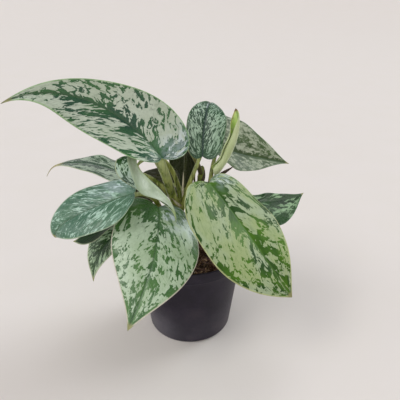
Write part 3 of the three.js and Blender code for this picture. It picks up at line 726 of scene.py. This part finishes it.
class Shader:
    """Short calls for building one material's nodes. A value is a number, a 0..255 colour or a socket."""

    def __init__(self, name):
        self.material = bpy.data.materials.new(name)
        self.material.use_nodes = True
        self.tree = self.material.node_tree

    def feed(self, socket, value):
        if isinstance(value, bpy.types.NodeSocket):
            self.tree.links.new(value, socket)
        elif socket.type == "RGBA":
            socket.default_value = linear_colour(*value)
        else:
            socket.default_value = value

    def node(self, kind, inputs, output=0, **settings):
        """A new node's output. The inputs are values by name or number."""
        node = self.tree.nodes.new("ShaderNode" + kind)
        for key, value in settings.items():
            setattr(node, key, value)
        for key, value in inputs.items():
            self.feed(node.inputs[key], value)
        return node.outputs[output]

    def finish(self, **values):
        """Sets the surface's sockets, with _ for a space in a name, and gives the material."""
        surface = self.tree.nodes["Principled BSDF"]
        for key, value in values.items():
            self.feed(surface.inputs[key.replace("_", " ")], value)
        return self.material

    def attribute(self, name, output="Fac"):
        return self.node("Attribute", {}, output, attribute_name=name)

    def object_place(self):
        return self.node("TexCoord", {}, "Object")

    def part(self, vector, k):
        return self.node("SeparateXYZ", {0: vector}, k)

    def noise(self, place, scale, move=(0, 0, 0), detail=2.0, roughness=0.5, warp=0.0):
        """Noise at a place that is stretched by a number or by one number for each direction."""
        scale = scale if isinstance(scale, tuple) else (scale, scale, scale)
        inputs = {"Scale": 1.0, "Detail": detail, "Roughness": roughness, "Distortion": warp}
        inputs["Vector"] = self.node("Mapping", {"Vector": place, "Scale": scale, "Location": move})
        return self.node("TexNoise", inputs)

    def math(self, operation, *values):
        return self.node("Math", dict(enumerate(values)), operation=operation)

    def times(self, first, second):
        return self.math("MULTIPLY", first, second)

    def total(self, *terms):
        """Sum of (value, weight) pairs."""
        running = 0.0
        for value, weight in terms:
            running = self.math("MULTIPLY_ADD", value, weight, running)
        return running

    def fade(self, value, low, high, before=0.0, after=1.0):
        """Smooth step of a value between low and high, to another range."""
        inputs = {"Value": value, "From Min": low, "From Max": high, "To Min": before, "To Max": after}
        return self.node("MapRange", inputs, interpolation_type="SMOOTHSTEP")

    def fall(self, distance, reach):
        """1 at no distance, falling off over the reach."""
        return self.math("EXPONENT", self.times(distance, -1 / reach))

    def mix(self, factor, first, second, blend="MIX"):
        return self.node("Mix", {0: factor, 6: first, 7: second}, 2, data_type="RGBA", blend_type=blend)

    def layers(self, colour, *layers):
        """Lays colours over the first one. A layer is what fade takes and then the colour."""
        for *fade, over in layers:
            colour = self.mix(self.fade(*fade), colour, over)
        return colour

    def bump(self, distance, strength, *terms):
        inputs = {"Height": self.total(*terms), "Distance": distance, "Strength": strength}
        return self.node("Bump", inputs)


class LeafShader(Shader):
    """Satin leaf: silver patches drawn out along the side veins over green, and a dull underside."""

    def __init__(self, name, leaf):
        super().__init__(name)
        self.leaf = leaf
        self.grain = self.attribute("grain", "Vector")
        place = self.attribute("place", "Vector")
        self.from_rib, self.from_edge, self.along = [self.part(place, k) for k in range(3)]
        self.lined = self.along_veins()
        dots = (1 / leaf.dot, leaf.lean / leaf.dot, 1)
        self.flecks = self.noise(self.lined, dots, (9, 4, 3), warp=0.8)
        self.fine = self.noise(self.grain, (1.1, 0.55, 1), (3, 8, 1), roughness=0.6)
        self.tint = self.noise(self.grain, (0.05, 0.05, 1), (1, 5, 2))
        self.clouds = self.noise(self.grain, (0.7, 0.5, 1), (7, 1, 4), detail=3.0, roughness=0.7)
        self.vein = self.fade(self.math("PINGPONG", self.part(self.lined, 0), 3.2), 0.0, 0.5, 1.0, 0.0)
        self.silver = self.silver_cover()

    def along_veins(self):
        """The place on the blade, sheared and bent so that its first number is the same along a vein."""
        bent = self.noise(self.grain, (0.12, 0.06, 1), detail=1.0)
        forward = self.times(self.from_rib, -self.leaf.sweep)
        push = self.node("CombineXYZ", {0: self.math("MULTIPLY_ADD", bent, 6.0, forward)})
        return self.node("VectorMath", {0: self.grain, 1: push}, operation="ADD")

    def silver_cover(self):
        """Where the silver lies: patches and flecks, pushed back at the midrib, the edge and the base."""
        leaf = self.leaf
        patches = (1 / leaf.patch, leaf.slant / leaf.patch, 1)
        broad = self.noise(self.lined, patches, detail=2.5, roughness=0.6, warp=0.6)
        spur = self.noise(self.lined, (1 / leaf.spur, 0.08, 1), (5, 2, 7), detail=2.5, warp=0.3)
        rim = self.noise(self.lined, (0.16, 0.1, 1), (1, 8, 3), warp=0.5)
        near_spur = self.times(self.fall(self.from_rib, leaf.spur_reach), self.fade(spur, 0.45, 0.6))
        near_edge = self.times(self.fall(self.from_edge, leaf.edge_reach), self.fade(rim, 0.4, 0.6, 0.2))
        cover = self.total(
            (broad, leaf.broad),
            (self.flecks, leaf.fleck),
            (self.fine, FINE_WEIGHT),
            (self.fall(self.from_rib, leaf.band), -leaf.rib_green),
            (near_spur, -leaf.spur_green),
            (near_edge, -leaf.edge_green),
            (self.fall(self.math("ABSOLUTE", self.along), COLLAR_REACH), -leaf.collar),
            (self.fade(self.along, 0.6, 1.0), leaf.tip_level),
        )
        middle = (leaf.broad + leaf.fleck + FINE_WEIGHT) / 2 - leaf.level
        return self.fade(cover, middle - leaf.soft, middle + leaf.soft)

    def painted_highlight_mask(self):
        """Where the painted highlight lies, a bluish-white sheen: on one side of the midrib, round a
        place along it.
        """
        side, middle, reach, strength = self.leaf.bloom
        across = self.times(self.part(self.grain, 1), side)
        far = self.math("ABSOLUTE", self.math("SUBTRACT", self.along, middle))
        patchy = self.noise(self.grain, (0.25, 0.12, 1), (4, 4, 9))
        spread = self.times(self.fade(far, reach, 0.0), self.fade(across, 0.0, 7.0))
        spread = self.times(spread, self.fade(patchy, 0.35, 0.6))
        return self.times(spread, self.math("MULTIPLY_ADD", self.silver, 0.6 * strength, 0.4 * strength))

    def upper(self):
        """Green, the silver over it, clouds, the painted bluish-white highlight, and the lines at the
        midrib and the edge.
        """
        leaf = self.leaf
        toned = self.fade(self.tint, 0.35, 0.65)
        green = self.mix(toned, *leaf.green)
        pale = self.mix(toned, *leaf.silver)
        pale = self.layers(pale, (self.flecks, 0.5, 0.36, 0.0, leaf.smudge, green))
        colour = self.mix(self.silver, green, pale)
        clouded = self.mix(1.0, colour, leaf.mottle, "MULTIPLY")
        colour = self.layers(colour, (self.clouds, 0.3, 0.7, 0.0, 0.35, clouded))
        # Painted highlight: a bluish-white sheen laid over the colour.
        colour = self.mix(self.painted_highlight_mask(), colour, PAINTED_HIGHLIGHT_TINT)
        rib_tone, rib_strength = leaf.rib_line
        edge_tone, edge_strength = leaf.edge_line
        return self.layers(
            colour,
            (self.from_rib, 0.25, 1.1, rib_strength, 0.0, rib_tone),
            (self.from_edge, 0.25, 1.0, edge_strength, 0.0, edge_tone),
        )

    def below(self):
        """The dull underside, with its raised ribs."""
        first, second = self.leaf.below
        ribs = self.leaf.below_rib
        colour = self.layers(first, (self.tint, 0.3, 0.7, second))
        colour = self.layers(colour, (self.clouds, 0.35, 0.7, 0.0, 0.25, first))
        colour = self.mix(self.times(self.vein, 0.35), colour, ribs)
        return self.layers(colour, (self.from_rib, 0.6, 2.0, 0.8, 0.0, ribs))

    def build(self):
        """The whole material: both faces, the tip, the gloss and the relief."""
        tip_tone, tip_start = self.leaf.tip
        facing = self.attribute("facing")
        colour = self.layers(
            self.below(),
            (facing, 0.4, 0.6, self.upper()),
            (self.along, tip_start, (1 + tip_start) / 2, tip_tone),
        )
        rough = self.total((self.silver, 0.10), (self.clouds, 0.14), (self.fine, 0.08))
        creases = self.noise(self.lined, (0.9, 0.12, 1), (2, 2, 2), detail=3.0, roughness=0.6)
        relief = ((creases, 0.6), (self.fine, 0.5), (self.silver, 0.35), (self.vein, -0.5))
        return self.finish(
            Base_Color=colour,
            Roughness=self.math("ADD", rough, self.leaf.rough),
            Normal=self.bump(0.00022, 0.8, *relief),
            Specular_IOR_Level=self.leaf.gloss,
            Sheen_Weight=self.leaf.sheen,
            Sheen_Roughness=0.35,
            Sheen_Tint=SHEEN_TINT,
        )


def stem_material():
    """Olive stems and petioles: paler at the blade, brown at the base, with fine lengthwise lines, and
    pale and dark lengthwise streaks that are a painted highlight and painted shade.
    """
    shader = Shader("stem_olive")
    run, brown, dry = [shader.attribute(name) for name in ("run", "brown", "dry")]
    place = shader.object_place()
    lines = shader.noise(place, (900, 900, 60), detail=3.0, roughness=0.6)
    blotch = shader.noise(place, (120, 120, 60), detail=3.0, roughness=0.65)
    band = shader.noise(place, (420, 420, 22))
    pale = shader.layers((164, 176, 112), (blotch, 0.4, 0.7, (184, 192, 140)))
    fresh = shader.layers(
        (90, 106, 30),
        (blotch, 0.35, 0.65, (152, 158, 72)),
        (run, 0.45, 1.0, pale),
        # Painted highlight and painted shade: pale and dark lengthwise streaks on the stems and petioles.
        (band, 0.54, 0.7, 0.0, 0.7, (190, 196, 116)),
        (band, 0.47, 0.3, 0.0, 0.75, (58, 70, 18)),
    )
    # The bark tones are darker than the stems' own brown, partly as painted shade for the shadowed stems
    # at the rear.
    bark = shader.layers((52, 40, 26), (lines, 0.35, 0.7, (96, 78, 50)))
    paper = shader.mix(brown, (222, 212, 188), (52, 38, 30))
    paper = shader.layers(paper, (blotch, 0.4, 0.6, 0.0, 0.5, (112, 86, 62)))
    colour = shader.mix(dry, shader.mix(brown, fresh, bark), paper)
    return shader.finish(
        Base_Color=shader.layers(colour, (lines, 0.45, 0.75, 0.0, 0.4, (84, 92, 44))),
        Roughness=shader.math("MULTIPLY_ADD", dry, 0.4, shader.fade(blotch, 0.3, 0.7, 0.22, 0.40)),
        Normal=shader.bump(0.0003, 0.5, (lines, 0.6), (blotch, 0.5)),
        Specular_IOR_Level=0.5,
    )


def pot_material():
    """Dark plum-black moulded plastic with a satin grain, faint scuffs, dust low down, and a painted
    reflection of the pale floor low on the left side.
    """
    shader = Shader("pot_plastic")
    place = shader.object_place()
    grain = shader.noise(place, 2600, roughness=0.6)
    cloud = shader.noise(place, 42, detail=4.0, roughness=0.6)
    scuff = shader.noise(place, (260, 260, 2600), roughness=0.7)
    across = shader.part(place, 0)
    height = shader.part(place, 2)
    dust = shader.times(shader.fade(cloud, 0.48, 0.72), shader.fade(height, 0.075, 0.0, 0.25, 1.0))
    # Painted reflection: the pot is made lighter low down on its left side, where the pale floor would be
    # reflected.
    painted_floor_reflection = shader.times(shader.fade(height, 0.045, 0.005), shader.fade(across, 0.0, -0.03, 0.12, 0.5))
    painted_floor_reflection = shader.times(painted_floor_reflection, shader.fade(cloud, 0.3, 0.7, 0.7, 1.0))
    marks = shader.fade(scuff, 0.62, 0.72, 0.0, 0.25)
    colour = shader.layers((23, 18, 32), (cloud, 0.3, 0.7, (37, 31, 46)))
    colour = shader.mix(shader.times(dust, 0.16), colour, (96, 84, 78))
    colour = shader.mix(painted_floor_reflection, colour, (120, 118, 126))
    return shader.finish(
        Base_Color=shader.mix(marks, colour, (84, 76, 80)),
        Roughness=shader.math("ADD", shader.total((cloud, 0.16), (grain, 0.10), (marks, 0.4)), 0.30),
        Normal=shader.bump(0.00012, 0.6, (grain, 1.0), (marks, 1.2)),
        Specular_IOR_Level=0.24,
    )


def soil_material():
    """Dark peat and coir: red-brown crumbs, near-black specks that are painted shade for the hollows, and
    pale fibres.
    """
    shader = Shader("potting_soil")
    place = shader.object_place()
    crumb = shader.noise(place, 420, detail=5.0, roughness=0.7)
    lump = shader.noise(place, 110, detail=3.0, roughness=0.6)
    cell = shader.node("TexVoronoi", {"Vector": place, "Scale": 700.0}, "Distance")
    bark = shader.layers((58, 40, 30), (crumb, 0.3, 0.7, (112, 80, 56)))
    colour = shader.layers(
        (56, 33, 26),
        (lump, 0.35, 0.65, (94, 58, 44)),
        (crumb, 0.51, 0.64, (170, 140, 112)),
        # Near-black specks: painted shade for the hollows between crumbs.
        (crumb, 0.48, 0.34, (14, 8, 7)),
        (shader.attribute("kind"), 0.2, 0.8, bark),
    )
    return shader.finish(
        Base_Color=colour,
        Roughness=shader.fade(crumb, 0.3, 0.7, 0.7, 0.95),
        Normal=shader.bump(0.0009, 0.9, (crumb, 1.0), (lump, 0.7), (cell, 0.6)),
        Specular_IOR_Level=0.3,
    )


def floor_material():
    """Plain pale floor with a faint mottling."""
    shader = Shader("floor_plain")
    cloud = shader.noise(shader.object_place(), 14, detail=3.0)
    return shader.finish(
        Base_Color=shader.mix(shader.fade(cloud, 0.3, 0.7), *FLOOR_TONES),
        Roughness=shader.fade(cloud, 0.3, 0.7, 0.75, 0.85),
        Specular_IOR_Level=0.2,
    )


# ---------------------------------------------------------------------------------- pieces


def make_stem(name):
    """One stem with the petioles that grow from it, their dry sheaths and the joints."""
    stem = STEMS[name]
    parts = Parts()
    steps = np.concatenate([np.linspace(0, STEM_TOP, 39), STEM_TOP_STEPS])
    points = bezier(stem.axis, steps)
    low_radius, top_radius = stem.radius
    radii = low_radius + (top_radius - low_radius) * steps
    for joint in stem_joints(name):
        radii = radii + JOINT_SWELL * hump(steps, joint, JOINT_WIDTH)
    radii = radii * np.sqrt(1 - STEM_TOP_CLOSING * within(steps - STEM_TOP, 1 - STEM_TOP) ** 2)
    draw = random.Random(name)
    offsets = [draw.uniform(-1, 1) for _ in range(SKIN_RIPPLES)]

    def wobble(k, angles):
        return 1 + SKIN_RIPPLE * np.sin(3 * angles + offsets[k % SKIN_RIPPLES])

    vertices, faces = tube(points, radii, STEM_SIDES, bumps=wobble)
    brown = np.interp(vertices[:, 2], [SOIL_LEVEL, SOIL_LEVEL + STEM_BROWN_FADE], STEM_BROWN)
    parts.add(vertices, faces, run=0.1, brown=brown, dry=0)
    for leaf in LEAVES.values():
        if leaf.petiole.stem == name:
            add_petiole(parts, leaf)
    for carrier, line, half, dark in SHEATHS:
        if carrier == name:
            add_sheath(parts, line, half, dark)
    return parts.make(name + "_fine")


def stem_joints(name):
    """Parts of the stem's height at which a ring swells: just under each petiole, and halfway."""
    petioles = [leaf.petiole for leaf in LEAVES.values()]
    return [petiole.along - JOINT_DROP for petiole in petioles if petiole.stem == name] + [0.5]


def petiole_line(leaf):
    """Points and radii of a petiole, which runs on under the blade into its midrib."""
    petiole = leaf.petiole
    reach = petiole.reach / notch_length(leaf)
    end, normal = blade_point(leaf, np.array(max(reach, 0.0)), np.array(0.0))
    foot_radius, tip_radius = petiole.radius
    meet = end - normal * (tip_radius * PETIOLE_NEAR_SIDE + PETIOLE_ROOM)
    root = bezier(STEMS[petiole.stem].axis, np.array(petiole.along))
    run = np.linspace(0, 1, 36)
    points = bezier([root, *petiole.via, meet], run)
    knee_place, knee_width, knee_height = KNEE
    neck_start, neck_depth = NECK
    radii = foot_radius + (tip_radius - foot_radius) * run
    radii = radii * (1 + knee_height * hump(run, knee_place, knee_width))
    radii = radii * (1 - neck_depth * within(run - neck_start, 1 - neck_start))
    beyond = reach + np.linspace(*RUN_ON_SPAN, RUN_ON_POINTS)
    rib, rib_normal = blade_point(leaf, beyond, np.zeros(RUN_ON_POINTS))
    under = np.linspace(tip_radius * PETIOLE_NEAR_SIDE, RUN_ON_RADIUS, RUN_ON_POINTS)
    points = np.concatenate([points, rib - rib_normal * (under[:, None] + RUN_ON_ROOM)])
    return points, np.concatenate([radii, under]), np.concatenate([run, np.ones(RUN_ON_POINTS)])


def groove(_, angles):
    """The shallow groove on the upper side of a petiole."""
    depth, width = GROOVE
    return 1 - depth * hump(angles, np.pi / 2, width)


def add_petiole(parts, leaf):
    points, radii, run = petiole_line(leaf)
    vertices, faces = tube(points, radii, PETIOLE_SIDES, bumps=groove)
    along = np.concatenate([np.repeat(run, PETIOLE_SIDES), [0, 1]])
    parts.add(vertices, faces, run=along, brown=leaf.brown * np.clip(1.2 - along, 0, 1), dry=0)


def add_sheath(parts, line, half, dark):
    """A thin dry strip that is widest low down, runs out to a point and is sunk into what carries it."""
    steps = np.linspace(0, 1, 14)
    radii = SHEATH_FLATNESS * half * np.interp(steps, [0, 0.3, 0.7, 1], [0.6, 1, 0.7, 0.12])
    vertices, faces = tube(bezier(line, steps), radii, 10, flat=1 / SHEATH_FLATNESS)
    parts.add(vertices, faces, run=1, brown=dark, dry=1)


def outer_radius(height):
    return POT_BASE_RADIUS + WALL_SLOPE * height


def inner_radius(height):
    return outer_radius(height) - POT_WALL


def rounded_corner(x, y, radius, start, end, steps):
    angles = np.radians(np.linspace(start, end, steps + 1))
    return [[x + radius * math.cos(angle), y + radius * math.sin(angle)] for angle in angles]


def pot_profile():
    """The pot's section as [radius, height], from under the floor round the wall to the floor's top."""
    foot = rounded_corner(outer_radius(POT_CORNER) - POT_CORNER, POT_CORNER, POT_CORNER, -90, -6, 10)
    wall = [[outer_radius(z), z] for z in np.linspace(POT_CORNER + 1, BAND_LOW - 1.4, 16)]
    under_band = outer_radius(BAND_LOW)
    band = rounded_corner(BAND_RADIUS - BAND_ROUND, BAND_LOW + 0.9, BAND_ROUND, -90, 0, 5)
    lip = rounded_corner(POT_RIM_RADIUS - LIP_ROUND, POT_HEIGHT - LIP_ROUND, LIP_ROUND, 0, 180, 12)
    inside_wall = [[inner_radius(z), z] for z in np.linspace(BAND_LOW - 1, 6, 12)]
    bottom = POT_FLOOR + INSIDE_ROUND
    inside_foot = rounded_corner(inner_radius(bottom) - INSIDE_ROUND, bottom, INSIDE_ROUND, 6, -90, 6)
    return [
        [0, FOOT_HOLLOW],
        [POT_BASE_RADIUS - 8, FOOT_HOLLOW],
        [POT_BASE_RADIUS - 6.6, 0],
        *foot,
        *wall,
        [under_band + 0.2, BAND_LOW - 0.4],
        [under_band + 0.6, BAND_LOW + 0.1],
        *band,
        *lip,
        [BAND_RADIUS - POT_WALL - 0.4, BAND_LOW + 2.2],
        [inner_radius(BAND_LOW) + 0.4, BAND_LOW + 1.2],
        *inside_wall,
        *inside_foot,
        [0, POT_FLOOR],
    ]


def make_pot():
    """The pot as a fine lathe: drafted wall, stepped band, rolled lip and drain holes in the floor."""
    first, *profile, last = pot_profile()
    vertices = [*level_rings(profile, POT_SIDES), [0, 0, first[1]], [0, 0, last[1]]]
    pot = make_object("pot_fine", vertices, ring_faces(len(profile), POT_SIDES))
    cut = pot.modifiers.new("drain", "BOOLEAN")
    cut.operation = "DIFFERENCE"
    cut.solver = "EXACT"
    cut.object = drain_cutter()
    graph = bpy.context.evaluated_depsgraph_get()
    made = bpy.data.meshes.new_from_object(pot.evaluated_get(graph))
    bpy.data.objects.remove(cut.object)
    pot.modifiers.clear()
    pot.data = made
    made.shade_smooth()
    made.set_sharp_from_angle(angle=math.radians(SHARP_ANGLE))
    return pot


def drain_cutter():
    """Rods where the drain holes come, a little longer than the floor is thick."""
    rods = Parts()
    for k in range(DRAIN_HOLES):
        angle = 2 * math.pi * (k + 0.5) / DRAIN_HOLES
        x, y = DRAIN_RING_RADIUS * math.cos(angle), DRAIN_RING_RADIUS * math.sin(angle)
        rod = [[x, y, -DRAIN_CUT_BEYOND], [x, y, POT_FLOOR + DRAIN_CUT_BEYOND]]
        rods.add(*tube(rod, [DRAIN_RADIUS, DRAIN_RADIUS], 40))
    return rods.make("drain_cutter")


def soil_top(x, y):
    """Height of the mound, without its fine lumps."""
    lumps = np.sin(0.33 * x + 0.9) * np.cos(0.29 * y - 0.4) + 0.6 * np.sin(0.61 * y + 0.4 * x)
    return SOIL_LEVEL - 2 + SOIL_LUMP * lumps / 1.6 - MOUND_SINK * (np.hypot(x, y) / 45) ** 2


def add_mound(parts, edge):
    """The body of the mix: an uneven top that sinks at the edge, and a plain underside in the pot."""
    radius, angle = np.meshgrid(np.linspace(0.5, edge, SOIL_RINGS), turn_steps(SOIL_SIDES), indexing="ij")
    x, y = radius * np.cos(angle), radius * np.sin(angle)
    coarse, fine = SOIL_FINE_LUMPS
    z = soil_top(x, y) + coarse * ripples(61, x / 3, y / 3) + fine * ripples(62, x / 1.1, y / 1.1)
    z = z - EDGE_SINK * within(radius - edge + EDGE_WIDTH, EDGE_WIDTH)
    floor = POT_FLOOR + SOIL_ROOM
    low_radius = inner_radius(floor + 3) - 2
    shoulder = SOIL_LEVEL - SHOULDER_DEPTH
    high_radius = inner_radius(shoulder) - SOIL_ROOM
    levels = [(high_radius, shoulder), (low_radius, floor + 1), (low_radius - 2, floor)]
    top = np.stack([x, y, z], -1).reshape(-1, 3)
    vertices = [*top, *level_rings(levels, SOIL_SIDES), [0, 0, float(soil_top(0, 0))], [0, 0, floor]]
    parts.add(vertices, ring_faces(SOIL_RINGS + len(levels), SOIL_SIDES), kind=0.0)


def random_spot(draw, edge):
    radius = edge * math.sqrt(draw.random()) * 0.97
    angle = draw.uniform(0, 2 * math.pi)
    return radius * math.cos(angle), radius * math.sin(angle)


def crumb_form():
    """Points and faces of the rough ball that every crumb is made from."""
    build = bmesh.new()
    bmesh.ops.create_icosphere(build, subdivisions=1, radius=1)
    vertices = np.array([vertex.co[:] for vertex in build.verts])
    faces = [tuple(vertex.index for vertex in face.verts) for face in build.faces]
    build.free()
    return vertices, faces


def add_crumb(parts, draw, edge, form):
    """One irregular crumb or bark chip, half sunk in the surface."""
    x, y = random_spot(draw, edge - 2)
    size = draw.uniform(*(SMALL_CRUMB if draw.random() < SMALL_CRUMB_SHARE else BIG_CRUMB))
    shape = [draw.uniform(0.7, 1.5), draw.uniform(0.6, 1.1), draw.uniform(0.4, 0.8)]
    turn = draw.uniform(0, math.pi)
    vertices, faces = form
    jitter = np.array([[draw.uniform(0.75, 1.2)] for _ in range(len(vertices))])
    long, wide, high = (vertices * jitter * size * shape).T
    spun_x = long * math.cos(turn) - wide * math.sin(turn)
    spun_y = long * math.sin(turn) + wide * math.cos(turn)
    height = float(soil_top(x, y)) + 0.25 * size
    placed = np.stack([spun_x, spun_y, high], 1) + [x, y, height]
    parts.add(placed, faces, kind=draw.choice([0.0, 0.0, 0.4, 1.0]))


def add_fibre(parts, draw, edge):
    """One thin coir fibre that lies curled on the surface."""
    x, y = random_spot(draw, edge - 6)
    heading = draw.uniform(0, 2 * math.pi)
    turn = draw.uniform(-0.5, 0.5)
    last = FIBRE_POINTS - 1
    step = draw.uniform(*FIBRE_LENGTH) / last
    points = []
    for k in range(FIBRE_POINTS):
        if math.hypot(x, y) > edge - 1:
            heading += math.pi / 2
        lift = 0.5 + 0.5 * math.sin(math.pi * k / last)
        points.append([x, y, float(soil_top(x, y)) + lift])
        x += step * math.cos(heading)
        y += step * math.sin(heading)
        heading += turn
    radii = [draw.uniform(*FIBRE_RADIUS)] * FIBRE_POINTS
    parts.add(*tube(points, radii, 5), kind=draw.uniform(0.6, 1.0))


def make_soil():
    """Potting mix: a crumbly mound with bark crumbs and coir fibres lying on it."""
    edge = inner_radius(SOIL_LEVEL) - SOIL_ROOM
    parts = Parts()
    add_mound(parts, edge)
    draw = random.Random(7)
    form = crumb_form()
    for _ in range(SOIL_CRUMBS):
        add_crumb(parts, draw, edge, form)
    for _ in range(SOIL_FIBRES):
        add_fibre(parts, draw, edge)
    return parts.make("soil_fine")


def make_floor():
    """A large plain floor under the pot, which curves up far away on all sides."""
    profile = [(radius, 0.0) for radius in FLOOR_RINGS]
    for angle in np.radians(np.linspace(-90, FLOOR_SWEEP_ANGLE - 90, 25))[1:]:
        out = FLOOR_RINGS[-1] + FLOOR_SWEEP * np.cos(angle)
        profile.append((out, FLOOR_SWEEP * (1 + np.sin(angle))))
    vertices = [*level_rings(profile, FLOOR_SIDES), [0, 0, 0]]
    floor = make_object("floor", vertices, ring_faces(len(profile), FLOOR_SIDES, capped=False))
    floor.data.materials.append(floor_material())


# ---------------------------------------------------------------------------------- studio


def make_camera():
    data = bpy.data.cameras.new("camera")
    data.angle = math.radians(CAMERA_ANGLE)
    data.clip_start = 0.01
    camera = add_object("camera", data)
    camera.location = Vector(CAMERA_PLACE) * MM
    camera.rotation_euler = (math.radians(90 - CAMERA_PITCH), 0, 0)
    bpy.context.scene.camera = camera


def make_light(name, direction, spread, strength, colour):
    """Broad soft light that comes from the direction with one strength over the whole floor."""
    data = bpy.data.lights.new(name, "SUN")
    data.angle = math.radians(spread)
    data.energy = strength
    data.color = colour
    light = add_object(name, data)
    light.location = direction
    light.rotation_euler = (-Vector(direction)).to_track_quat("-Z", "Y").to_euler()


def make_studio():
    scene = bpy.context.scene
    scene.view_settings.view_transform = "Standard"
    world = bpy.data.worlds.new("world")
    scene.world = world
    world.use_nodes = True
    background = world.node_tree.nodes["Background"]
    background.inputs["Color"].default_value = WORLD_COLOUR
    background.inputs["Strength"].default_value = WORLD_STRENGTH
    for light in LIGHTS:
        make_light(*light)


make_studio()
make_camera()
make_floor()

stem_olive = stem_material()
for stem_name in STEMS:
    finish_piece(make_stem(stem_name), stem_olive, stem_name)

for leaf_name, own_leaf in LEAVES.items():
    fine_leaf = make_blade(leaf_name + "_fine", own_leaf)
    surface = LeafShader(leaf_name + "_surface", own_leaf).build()
    finish_piece(fine_leaf, surface, leaf_name)

finish_piece(make_pot(), pot_material(), "pot")
finish_piece(make_soil(), soil_material(), "soil")
